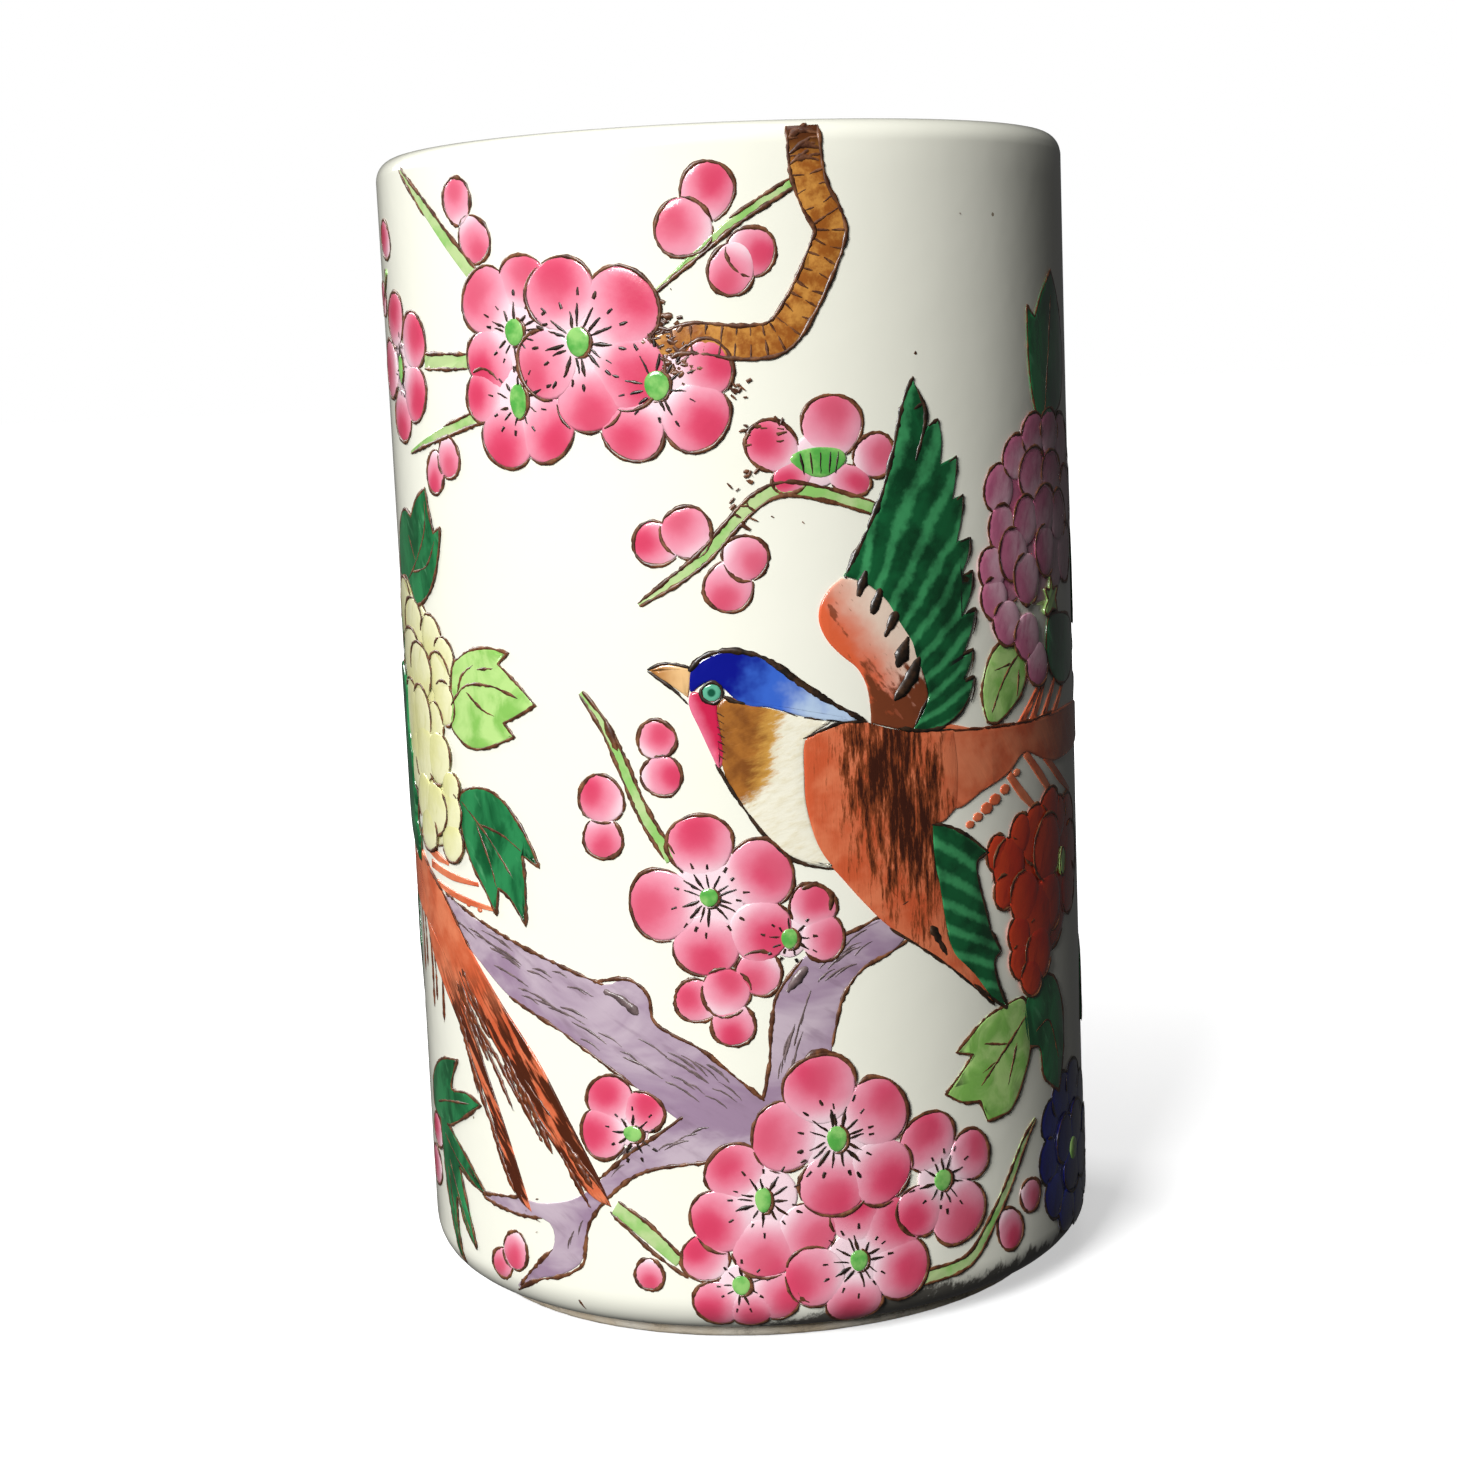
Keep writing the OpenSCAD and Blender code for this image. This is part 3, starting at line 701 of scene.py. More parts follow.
def model_petal():
    """One petal of radius 1 at the sheet's origin, heading up: a disc, extruded and twice inset."""
    bpy.ops.object.select_all(action="DESELECT")
    bpy.ops.mesh.primitive_circle_add(vertices=petal_sides, radius=1, fill_type="NGON")
    piece = bpy.context.object
    for number, vertex in enumerate(piece.data.vertices):
        across, ahead = petal_spot((0, 0), 1, 0, 1, 2 * math.pi * number / petal_sides)
        vertex.co = (across, petal_base, ahead)
    bpy.ops.object.mode_set(mode="EDIT")
    bpy.ops.mesh.select_all(action="SELECT")
    bpy.ops.mesh.extrude_region_move(
        TRANSFORM_OT_translate={"value": (0, -petal_base - petal_rim * 0.4, 0)})
    for inset, rise in ((0.07, 0.6 * petal_rim), (0.22, 0.7 * petal_swell), (0.3, 0.3 * petal_swell)):
        bpy.ops.mesh.inset(thickness=inset, depth=0)
        bpy.ops.transform.translate(value=(0, -rise, 0))
    bpy.ops.mesh.poke()
    bpy.ops.mesh.select_all(action="SELECT")
    bpy.ops.mesh.normals_make_consistent(inside=False)
    bpy.ops.object.mode_set(mode="OBJECT")
    bpy.ops.object.shade_smooth()
    petal_map = piece.data.uv_layers[0]
    petal_map.name = "petal"
    for loop in piece.data.loops:
        spot = piece.data.vertices[loop.vertex_index].co
        petal_map.data[loop.index].uv = (spot.x, spot.z)
    return piece


petal_pattern = model_petal()
pale_shift = -2.2


class Bunch:
    """Petals laid on the sheet one over another, and the ink line round what shows of each."""

    def __init__(self):
        self.copies = []
        self.laid = []

    def lay(self, flower, centre, size, heading, layer, squash=1.0, pale=False):
        copy = own_copy(petal_pattern)
        turn = Matrix.Rotation(math.radians(heading), 4, "Y")
        grow = Matrix.Diagonal((size * squash, 1, size, 1))
        copy.data.transform(Matrix.Translation((centre[0], -layer, centre[1])) @ turn @ grow)
        if pale:
            for corner in copy.data.uv_layers["petal"].data:
                corner.uv.y = 0.3 * corner.uv.y + pale_shift
        self.copies.append(copy)
        self.laid.append((flower, centre, size, heading, squash, layer, pale))

    def covers(self, petal, spot):
        _, centre, size, heading, squash, _, _ = petal
        turn = math.radians(heading)
        right, over = spot[0] - centre[0], spot[1] - centre[1]
        across = (right * math.cos(turn) - over * math.sin(turn)) / (size * squash)
        ahead = (right * math.sin(turn) + over * math.cos(turn)) / size
        return across ** 2 + ahead ** 2 < covered

    def ink(self, width, round_by=180, steps=22):
        """Ink jobs round each tip, left out where a later petal or one of its own flower lies."""
        jobs = []
        for order, petal in enumerate(self.laid):
            flower, centre, size, heading, squash, layer, pale = petal
            over = [other for place, other in enumerate(self.laid)
                    if other is not petal and (place > order or other[0] == flower)]
            run = []
            was_over_petal = False
            for i in range(-steps, 1 if pale else steps + 1):
                a = math.radians(round_by) * i / steps
                spot = petal_spot(centre, size + line_outside, heading, squash, a)
                hidden = pale or any(self.covers(other, spot) for other in over)
                over_petal = any(self.covers(other, spot) for other in self.laid[:order])
                if hidden or over_petal != was_over_petal:
                    if len(run) > 2:
                        jobs.append((run, width, rise))
                    run = []
                was_over_petal = over_petal
                rise = layer + (petal_rim + 2 * petal_swell if over_petal else petal_rim)
                if not hidden:
                    run.append(spot)
            if len(run) > 2:
                jobs.append((run, width, rise))
        return jobs


# A blossom is its heart, the reach of its pale middle, and its petals as along, up and radius.
# The petals of those round the back are set out evenly. A stacked blossom lies higher.
blossoms = [
    ((-41.6, 98.4), 2.6, [(-43.3, 103.6, 2.7), (-42.4, 93.4, 2.6), (-38.2, 95.8, 2.7),
     (-37.8, 101.2, 2.7), (-46.2, 98.4, 2.8)]),
    ((-21.3, 101.4), 3.6, [(-20.1, 106.2, 2.6), (-24.9, 104.6, 3.1), (-24.8, 98.7, 2.9)]),
    ((-21.2, 94.8), 3.2, [(-25.8, 95.4, 2.4), (-22.9, 91.4, 3.0), (-18.2, 92.0, 3.0)]),
    ((-6.6, 95.8), 3.2, [(-1.8, 97.3, 2.5), (-9.2, 91.7, 2.9), (-3.0, 92.7, 3.1)]),
    ((-14.2, 100.2), 3.9, [(-13.4, 94.6, 3.1), (-9.2, 97.2, 3.4), (-9.7, 103.3, 3.6),
     (-16.0, 104.9, 3.4), (-17.8, 98.2, 3.1)]),
    ((-3.8, 46.5), 3.6, [(-4.5, 51.8, 3.0), (1.3, 48.7, 3.2), (-4.3, 41.6, 3.0), (1.2, 42.9, 2.9),
     (-8.5, 45.8, 3.3)]), ((3.8, 42.1), 1.9, [(6.3, 45.2, 2.2), (7.2, 41.9, 2.1), (0.6, 38.7, 2.1)]),
    ((-12.6, 22.6), 1.6, [(-15.0, 26.0, 2.4), (-11.4, 24.9, 2.0), (-16.0, 22.3, 2.4)]),
    ((-2.3, 7.3), 2.2, [(-5.9, 10.2, 2.3), (-4.8, 5.3, 2.3), (1.2, 6.0, 2.4), (-1.4, 4.6, 2.0)]),
    ((0.2, 16.0), 3.4, [(-2.5, 18.9, 2.8), (-4.1, 13.9, 3.0), (0.2, 10.9, 3.0), (4.6, 12.4, 2.8)]),
    ((9.5, 9.0), 3.2, [(9.5, 13.6, 2.6), (13.2, 11.9, 3.0), (14.1, 7.4, 3.0), (9.0, 4.7, 2.7),
     (4.9, 7.8, 2.9)]),
    ((19.0, 15.7), 2.8, [(17.5, 20.0, 3.0), (22.7, 17.6, 2.5), (21.0, 11.9, 3.2), (16.2, 13.0, 2.5)]),
    ((7.7, 21.7), 3.9, [(2.5, 22.3, 3.3), (7.2, 17.0, 3.2), (12.2, 17.7, 3.2), (11.9, 23.9, 3.3),
     (6.2, 27.0, 3.4)]), ((72, 98), 3.6, None), ((84, 90), 3.4, None), ((96, 97), 3.5, None),
    ((92, 79), 3.0, None), ((-98, 30), 3.6, None), ((-88, 22), 3.4, None), ((-104, 18), 3.4, None),
    ((-80, 12), 3.0, None), ((104, 36), 3.5, None), ((110, 70), 3.2, None)]
stacked = (0, 1, 2, 3, 4, 1, 0, 0, 0, 1, 2, 3, 4)
front_count = len(stacked)
lift = [0.03 * place for place in stacked] + [0] * (len(blossoms) - front_count)
draw_in = 0.95
petal_growth = 1.03
random.seed(17)
plum = Bunch()
for number, (heart, middle_r, petals) in enumerate(blossoms):
    if not petals:
        first = random.uniform(0, 72)
        petals = [(heart[0] + 1.35 * middle_r * math.sin(math.radians(first + 72 * k)),
                   heart[1] + 1.35 * middle_r * math.cos(math.radians(first + 72 * k)),
                   0.88 * middle_r) for k in range(5)]
    plum.lay(number, heart, middle_r, 0, lift[number], pale=True)
    for order, (along, up, size) in enumerate(petals):
        heading = math.degrees(math.atan2(along - heart[0], up - heart[1]))
        spot = (heart[0] + draw_in * (along - heart[0]), heart[1] + draw_in * (up - heart[1]))
        layer = lift[number] + 0.02 + order * 0.012
        plum.lay(number, spot, petal_growth * size, heading, layer, squash=1.04)

# The blossom seen from the side keeps its petals in a row over a green cup.
side_blossom = 50
for along, up, size, heading, squash in ((4.1, 89.6, 2.7, -50, 0.85), (14.1, 88.3, 2.2, 80, 0.95),
                                         (9.9, 91.2, 3.0, 5, 1.0), (6.0, 86.8, 2.2, -115, 0.65),
                                         (11.4, 86.2, 2.3, 110, 0.6)):
    plum.lay(side_blossom, (along, up), size, heading, 0.04, squash)
plum.lay(side_blossom, (8.6, 88.2), 2.6, 0, 0.01, pale=True)

# A bud is along, up, radius, heading and how narrow it is, the undermost of a pair first.
buds = [
    (-45.6, 111.5, 2.3, -60, 0.8), (-48.8, 105.6, 1.9, -40, 0.8), (-28.2, 114.2, 2.3, -10, 0.85),
    (-26.1, 110.5, 2.4, 150, 0.85), (-34.5, 88.0, 2.2, 190, 0.75), (-31.8, 89.5, 2.1, 170, 0.85),
    (-1.2, 113.4, 2.9, 20, 0.85), (-3.4, 110.3, 2.7, -70, 1.0), (0.9, 106.4, 2.5, 200, 0.85),
    (2.7, 107.9, 2.3, 110, 0.98), (-7.3, 80.9, 2.3, -80, 0.9), (-4.4, 81.8, 2.5, -30, 0.95),
    (-0.6, 76.7, 2.5, 200, 0.92), (1.0, 79.3, 2.2, 120, 0.95), (-8.3, 62.0, 1.9, 40, 0.97),
    (-8.0, 58.5, 2.0, 90, 0.97), (-14.3, 52.4, 2.1, 180, 0.97), (-14.2, 56.1, 2.4, -60, 0.97),
    (-5.4, 36.2, 2.2, -70, 0.95), (-2.0, 33.9, 2.2, 180, 0.95), (-2.6, 37.0, 2.4, 20, 0.97),
    (-30.4, 6.4, 1.9, 230, 0.8), (-28.2, 8.2, 2.1, 200, 0.85), (-11.6, 8.2, 1.6, 180, 0.92),
    (28.2, 8.4, 2.4, 150, 0.8), (31.8, 11.0, 1.9, 120, 0.9), (-45.2, 17.0, 2.0, -60, 0.9),
    (-47.2, 12.6, 2.4, -90, 0.9), (66, 88, 2, 30, 0.85), (78, 106, 2, 0, 0.85), (102, 90, 2, 90, 0.85),
    (88, 68, 2, 180, 0.85), (-92, 38, 2, 0, 0.85), (-110, 26, 2, -60, 0.85), (108, 80, 2, 20, 0.85)]
first_bud = 100
for order, (along, up, size, heading, squash) in enumerate(buds):
    plum.lay(first_bud + order, (along, up), size, heading, 0.03 * (order % 3), squash)

petal_pink = Recipe("pink_enamel", roughness=0.22, coat=0.6, coat_roughness=0.06)
wander = petal_pink.noise(0.25, detail=1)
across, ahead, _ = petal_pink.split(petal_pink.place(uv="petal"))
brushy = petal_pink.noise(0.8, detail=5, rough=0.6)
shift = petal_pink.sum("MULTIPLY_ADD", wander, 0.7, 0.16)
from_blush = petal_pink.sum("SUBTRACT", ahead, shift)
reach = petal_pink.far(across, from_blush)
reach = petal_pink.sum("ADD", reach, petal_pink.sum("MULTIPLY_ADD", brushy, 0.24, -0.12))
strength = petal_pink.between(petal_pink.noise(0.12, detail=1), 0.3, 0.6, 0.72, 1.0)
blush = petal_pink.sum("MULTIPLY", petal_pink.between(reach, 1.55, 0.3), strength)
white_pink = petal_pink.shade(ahead, -0.3, -1.0, srgb(244, 178, 196), srgb(250, 220, 228))
pink = petal_pink.mix(blush, white_pink, srgb(226, 84, 118))
core = petal_pink.sum("MULTIPLY", petal_pink.between(reach, 0.8, 0.1), strength)
petal_pink.colour(petal_pink.mix(petal_pink.sum("MULTIPLY", core, 0.55), pink, srgb(206, 44, 80)))
petal_pink.bump(brushy, 0.03)
fire_on(plum.copies, "blossom_petals_laid", petal_pink, "pink_enamel", "blossom_petals",
        "blossom_buds")

# ---- Blossom hearts ----
# A small bead of clear lime-green enamel in the middle of each open blossom, and the green cup
# under the one seen from the side.

heart_size = [
    (0.7, 1.5), (1.1, 1.3), (1.0, 1.7), (1.2, 1.4), (1.2, 1.4), (0.9, 0.9), (0.8, 1.0), (1.0, 0.8),
    (0.9, 1.0), (0.8, 1.3), (0.9, 1.1), (1.0, 1.1), (1.0, 1.3)]
heart_rise = 0.17
heart_copies = []
heart_jobs = []
for number, (heart, _, _) in enumerate(blossoms):
    half_wide, half_tall = heart_size[number] if number < front_count else (1.2, 1.2)
    copy = own_copy(petal_pattern)
    grow = Matrix.Diagonal((half_wide, 1, half_tall, 1))
    rise = heart_rise + lift[number]
    copy.data.transform(Matrix.Translation((heart[0], -rise, heart[1])) @ grow)
    heart_copies.append(copy)
    rim = ring(*heart, half_wide + 0.15, half_tall + 0.15, (0.3, 1.1, 1.9, 2.7, 3.4))
    heart_jobs.append((rim, 0.4, rise + 0.05))
bpy.data.objects.remove(petal_pattern)
heart_copies.append(enamel_patch(drawn_line([(5.6, 88.4), (6.6, 89.1), (8.6, 89.4), (10.6, 89.1),
                                             (11.2, 88), (10, 86.9), (8.6, 86.5), (7, 87)], True), 0.22))
cup_lines = [([(along, 88.9), (along * 0.8 + 1.7, 86.9)], 0.28, 0.24)
             for along in (6.6, 7.6, 8.6, 9.6, 10.4)]
lime = Recipe("lime_enamel", roughness=0.18, coat=0.8)
lime_pool = lime.noise(0.5, detail=3)
lime.colour(lime.shade(lime_pool, 0.35, 0.65, srgb(150, 208, 116), srgb(88, 172, 74)))
lime.bump(lime_pool, 0.05)
fire_on(heart_copies, "blossom_hearts_laid", lime, "lime_enamel", "blossom_hearts")

# ---- Stamens and the ink round the blossom ----
# Fine brown-black lines, drawn with a pointed brush before the colours went on and gone over
# after: outlines of uneven weight, and stamens that end in a dash.

stamen_jobs = []
stamen_plan = [
    (11, 0.8, 3.0), (12, 1.3, 3.4), (10, 1.4, 3.4), (10, 1.4, 3.8), (15, 1.5, 4.2), (14, 1.0, 3.4),
    (9, 1.0, 2.4), (9, 0.9, 2.4), (9, 1.0, 2.5), (12, 1.1, 3.3), (12, 1.1, 3.2), (11, 1.1, 3.2),
    (15, 1.3, 3.8)]
random.seed(11)
for number, ((centre_x, centre_z), middle_r, _) in enumerate(blossoms):
    count, start, end = stamen_plan[number] if number < front_count else (12, 1.4, middle_r)
    squeeze = 0.5 if number == 0 else 1
    for i in range(count):
        a = 2 * math.pi * (i + random.uniform(-0.25, 0.25)) / count
        bend = random.uniform(-0.15, 0.15)
        long = end * random.uniform(0.75, 1.05)
        spots = [(centre_x + squeeze * d * math.sin(a + b), centre_z + d * math.cos(a + b))
                 for d, b in ((start, 0), ((start + long) / 2, bend), (long * 0.85, bend))]
        stamen_jobs.append((spots, 0.42, 0.24 + lift[number]))
        a += random.uniform(-0.1, 0.1)
        dash = [(centre_x + squeeze * d * math.sin(a), centre_z + d * math.cos(a))
                for d in (long * 1.02, long * 1.2)]
        stamen_jobs.append((dash, 0.7, 0.24 + lift[number]))

thick_strokes = [
    ([(4.7, 29.8), (6.6, 30.6), (8.6, 29.6), (9.4, 27.4)], 0.9, 0.12),
    ([(10.2, 27), (12, 27.4), (13.8, 26)], 0.8, 0.1),
    ([(5.2, 46.9), (6.6, 47.3), (8, 46.2), (7.9, 44.6)], 0.6, 0.15),
    ([(2.6, 8.6), (3.4, 6), (5, 4.8)], 0.7, 0.15),
    ([(6.4, 3.6), (8, 2.2), (10.6, 2.6), (11.4, 4)], 0.6, 0.14)]
draw_ink("blossom_outlines", plum.ink(0.4) + heart_jobs + thick_strokes, brown_ink, "black_enamel",
         21, ragged=0.3)
draw_ink("stamens", stamen_jobs + cup_lines, black_ink, "black_enamel", 22)

# ---- Dark leaves ----
# Broad leaves with pointed teeth in a deep, glassy copper green, thinner and lighter where the
# brush lifted, with a spiky brown outline and fine brown veins.

toothed_leaves = [
    [(-43.3, 76.3), (-41, 74.3), (-37.8, 75.4), (-35.8, 77.6), (-34.6, 80.4), (-34.2, 82.4, 1),
     (-35.6, 81.8, 1), (-36.3, 83.6), (-37, 86.3, 1), (-39.3, 85.2), (-41.4, 83.3, 1), (-42.8, 83.9),
     (-44.6, 83.7), (-46.4, 82), (-47.5, 79), (-47.4, 76.9), (-45, 77)],
    [(-33.2, 55.3), (-29.5, 56.3), (-26.5, 55.4), (-24.1, 53), (-22.7, 50.8), (-21.9, 49, 1),
     (-24, 50, 1), (-23.8, 47), (-24, 42.9, 1), (-26, 45.4), (-27.7, 46.3, 1), (-28.2, 43.5, 1),
     (-29.8, 45.9), (-32.1, 48.8), (-33.4, 52.1)],
    [(41.9, 105.4, 1), (39.6, 103.8), (38, 102), (37.2, 100.8, 1), (35.5, 102, 1), (35.5, 98.8),
     (35.6, 96.5), (36.2, 93.4), (37.6, 91), (41, 91), (44.4, 92), (46.3, 95.5), (45.7, 99.6),
     (44, 103)],
    [(31.5, 31), (33, 32.6), (35, 33.5), (37.8, 32.9), (39.7, 30.6), (40.5, 27), (40, 23.6),
     (38.6, 20.4, 1), (36.6, 21.6), (35, 23), (34.4, 26), (32.2, 26.8), (31.4, 29)],
    [(-46, 19.6), (-42, 18.6), (-39, 19.4), (-36, 20.9), (-32.8, 22.7, 1), (-35.6, 23.4), (-39.3, 23.2),
     (-37.4, 26.6, 1), (-41, 26), (-44, 24.6), (-46, 22.6)],
    [(-43.5, 19), (-41, 18.8), (-37, 16.6), (-34.6, 14.8), (-32.8, 13.2, 1), (-35, 13.6),
     (-38.4, 14.8, 1), (-37.4, 12), (-36.2, 9), (-35.4, 6.6, 1), (-37.6, 8.6), (-39.4, 11.2),
     (-39.8, 8.4), (-39, 4.8), (-39.6, 4.4), (-41, 7.6), (-42.6, 12)],
    [(-45.4, 46.6, 1), (-44.8, 49.5, 1), (-46, 51), (-45, 53.6, 1), (-46.2, 55), (-45.8, 58, 1),
     (-47.4, 60), (-47.6, 66), (-52, 67), (-54, 60), (-51, 51)],
    [(38.2, 67.5), (39, 70.3), (42, 70.5), (47, 69.5), (49.6, 66.2, 1), (46, 63.5), (42, 63.2),
     (39, 65)]]
wing_edge = toothed_leaves[-2]
wing_edge_thick = 0.42


def round_leaf(along, up, length, width, turn, teeth=3):
    """A leaf whose edge is two bowed lines with a few teeth near its tip."""
    turn = math.radians(turn)
    spots = []
    for side in (1, -1):
        rows = [(t, side * math.sin(math.pi * t) ** 0.8 * width / 2) for t in (0.05, 0.2, 0.4, 0.6)]
        for k in range(teeth):
            t = 0.68 + 0.1 * k
            bulge = side * width / 2 * math.sin(math.pi * t) ** 0.8
            rows += [(t + 0.05, bulge * 1.12, 1), (t + 0.045, bulge * 0.8, 1)]
        spots.append(rows)
    rows = spots[0] + [(1.02, 0, 1)] + spots[1][::-1] + [(0, 0, 1)]
    placed = []
    for t, out, *corner in rows:
        ahead = (t - 0.5) * length
        placed.append((along + ahead * math.cos(turn) - out * math.sin(turn),
                       up + ahead * math.sin(turn) + out * math.cos(turn), *corner))
    return placed


back_dark = [
    (58, 76, 18, 8, 60), (62, 58, 17, 7, -30), (57, 30, 16, 7, 40), (-88, 78, 17, 8, 150),
    (80, 44, 16, 7, 160)]
back_light = [(61, 90, 16, 7, 75), (66, 34, 16, 7, -20), (-82, 66, 15, 7, 165), (90, 52, 15, 7, 30)]
toothed_leaves += [round_leaf(*leaf) for leaf in back_dark]
dark_veins = [
    [(-43.2, 76.8), (-40, 79), (-37.6, 82), (-37.1, 85)], [(-40.4, 78.6), (-42.4, 81.4)],
    [(-41.6, 77.6), (-37.6, 78.4), (-35.4, 81)], [(-33, 54.6), (-29, 51.6), (-25.4, 47.6)],
    [(-30.6, 52.6), (-28.6, 48.6), (-27.9, 46.4)], [(-30, 52.6), (-26.6, 51.8), (-24, 50.4)],
    [(39.2, 91.5), (40.4, 97), (41.6, 103)], [(33.6, 28), (36.6, 28.4), (38.6, 24)],
    [(-44, 20.6), (-40, 21.6), (-35, 22.4)], [(-42, 17.6), (-38, 15.2), (-34.4, 13.6)],
    [(-41, 15), (-38.6, 11), (-36.4, 8)], [(-41.6, 14), (-40.6, 9.6), (-39.5, 6)]]
light_veins = [
    [(-34, 64.4), (-31, 66.6), (-27, 66.8), (-23.4, 65.8)],
    [(-32.6, 65.6), (-31.6, 67.6), (-29.6, 68.8)], [(-31, 66), (-28.6, 64.4), (-26.8, 63.8)],
    [(-29, 68.4), (-26.6, 68.6)], [(32.6, 67.8), (29.6, 65.4), (27.4, 62)], [(30.6, 66.6), (28, 66.2)],
    [(32, 65.8), (31.6, 63.2)], [(31.6, 30), (27.6, 27), (24.4, 24.4)], [(28.6, 27.8), (25, 28.6)],
    [(30, 27.6), (28.4, 23.6)], [(26.6, 26.4), (24.6, 25.6)]]
for along, up, length, width, turn in back_dark + back_light:
    turn = math.radians(turn)
    way = np.array((math.cos(turn), math.sin(turn)))
    aside = np.array((-way[1], way[0]))
    veins = dark_veins if (along, up) in [b[:2] for b in back_dark] else light_veins
    veins.append([tuple(way * t * length + (along, up)) for t in (-0.45, 0, 0.4)])
    for t in (-0.25, -0.05, 0.15):
        for side in (1, -1):
            root = way * t * length + (along, up)
            veins.append([tuple(root), tuple(root + way * 0.12 * length + aside * side * 0.3 * width)])

dark_green = Recipe("dark_green_enamel", roughness=0.16, coat=0.8, coat_roughness=0.04)
pool = dark_green.noise(0.28, detail=4, swirl=0.4, stretch=(1, 1, 0.5))
strand = dark_green.noise(0.9, detail=4, stretch=(1, 0.28, 1), turn=-35, uv="sheet")
deep = dark_green.shade(pool, 0.36, 0.62, srgb(12, 84, 44), srgb(44, 136, 80))
dark_green.colour(dark_green.mix(dark_green.between(strand, 0.56, 0.75, 0, 0.65), deep,
                                 srgb(92, 172, 118)))
dark_green.bump(pool, 0.08)
fire_on([enamel_patch(drawn_line(leaf, True, 0.6), wing_edge_thick if leaf is wing_edge else enamel_thick)
         for leaf in toothed_leaves],
        "dark_leaves_laid", dark_green, "dark_green_enamel", "dark_leaves")
leaf_rims = [(leaf, 0.42, 0.15, True) for leaf in toothed_leaves]
draw_ink("dark_leaf_ink", leaf_rims + [(vein, 0.24, 0.2) for vein in dark_veins], brown_ink,
         "black_enamel", 41, ragged=0.4)

# ---- Light leaves ----
# The same kind of leaf in a thin yellow-green enamel that has pooled darker here and there, with its
# outline and veins in the same brown.

pale_leaves = [
    [(-34.3, 62.6), (-33, 61.2), (-30.7, 60.3), (-27.9, 60.6), (-24.2, 61.9, 1), (-25.6, 63.2, 1),
     (-23.6, 64), (-21.3, 65.2, 1), (-23.2, 67), (-25.9, 69.1, 1), (-24.5, 70.2, 1), (-26.9, 70.6),
     (-29.8, 70.3), (-32.1, 69.3), (-33.3, 68.4), (-33.8, 65.6)],
    [(29.8, 69.1), (28, 68.2), (27, 66.9), (26.1, 64.5), (26.3, 62.6), (26.8, 61.2, 1), (28.2, 60.9),
     (30.3, 61.9), (32.6, 63.5), (33.7, 65.9), (33.2, 67.9), (31.5, 68.9)],
    [(31.4, 32), (28, 31.8), (25, 31), (21.3, 28.4, 1), (23.4, 27.8, 1), (21.8, 26.2), (19.8, 24.4, 1),
     (21.8, 23.2), (24.2, 22.8, 1), (25.2, 20.5, 1), (27.2, 20.6), (29, 21), (31, 23.5), (32.5, 26.5),
     (32.2, 29.6)]]
pale_leaves += [round_leaf(*leaf) for leaf in back_light]
pale_green = Recipe("pale_green_enamel", roughness=0.18, coat=0.75, coat_roughness=0.05)
pale_pool = pale_green.noise(0.3, detail=4, swirl=0.5)
pale_green.colour(pale_green.shade(pale_pool, 0.36, 0.64, srgb(188, 226, 138), srgb(138, 196, 92)))
pale_green.bump(pale_pool, 0.07)
fire_on([enamel_patch(drawn_line(leaf, True, 0.6)) for leaf in pale_leaves],
        "light_leaves_laid", pale_green, "pale_green_enamel", "light_leaves")
leaf_rims = [(leaf, 0.42, 0.15, True) for leaf in pale_leaves]
draw_ink("light_leaf_ink", leaf_rims + [(vein, 0.3, 0.2) for vein in light_veins], brown_ink,
         "black_enamel", 42, ragged=0.4)

# ---- Peonies and blue flowers ----
# Full double flowers built of overlapping lobes, each lobe its own touch of the brush: cream, rose,
# iron red, and a dark cobalt blue near the foot.


def flower(lobes, number, bunch, heart):
    """Lays lobes, given as along, up and radius, so that each heads away from the heart."""
    for order, (along, up, size) in enumerate(lobes):
        heading = math.degrees(math.atan2(along - heart[0], up - heart[1]))
        bunch.lay(number * 100 + order, (along, up), 1.06 * size, heading, 0.012 * order, 1.04)


def full_flower(along, up, size):
    """A whole round flower: an outer ring of lobes, an inner ring and a middle."""
    lobes = [(along, up, size * 0.62)]
    for count, reach, lobe in ((9, 0.76, 0.27), (7, 0.45, 0.27), (4, 0.18, 0.24)):
        for k in range(count):
            a = 2 * math.pi * k / count + reach * 3
            lobes.append((along + size * reach * math.sin(a), up + size * reach * math.cos(a),
                          size * lobe * random.uniform(0.9, 1.15)))
    return lobes


random.seed(23)
cream_lobes = [
    (-44.5, 68, 7), (-42, 58, 5), (-39, 53, 3.5), (-44.9, 76.6, 1.9), (-46.6, 73.6, 3),
    (-43, 71.8, 2.9), (-37.9, 71, 2.2), (-35.1, 69.1, 1.9), (-36.4, 67.2, 2.2), (-35.6, 64.4, 2.1),
    (-38, 62.2, 2), (-44.4, 68, 3.4), (-41.2, 67.2, 2.9), (-45.2, 62.6, 3.2), (-41.6, 62.8, 2.7),
    (-44.5, 57.6, 3), (-41.2, 58.8, 2.9), (-37.5, 58.7, 2.5), (-35, 55.8, 1.6), (-35.7, 53.2, 2.3),
    (-35.3, 50.2, 2), (-41.8, 54, 2.4), (-38.8, 53.2, 2.6), (-41, 50.8, 2.2)]
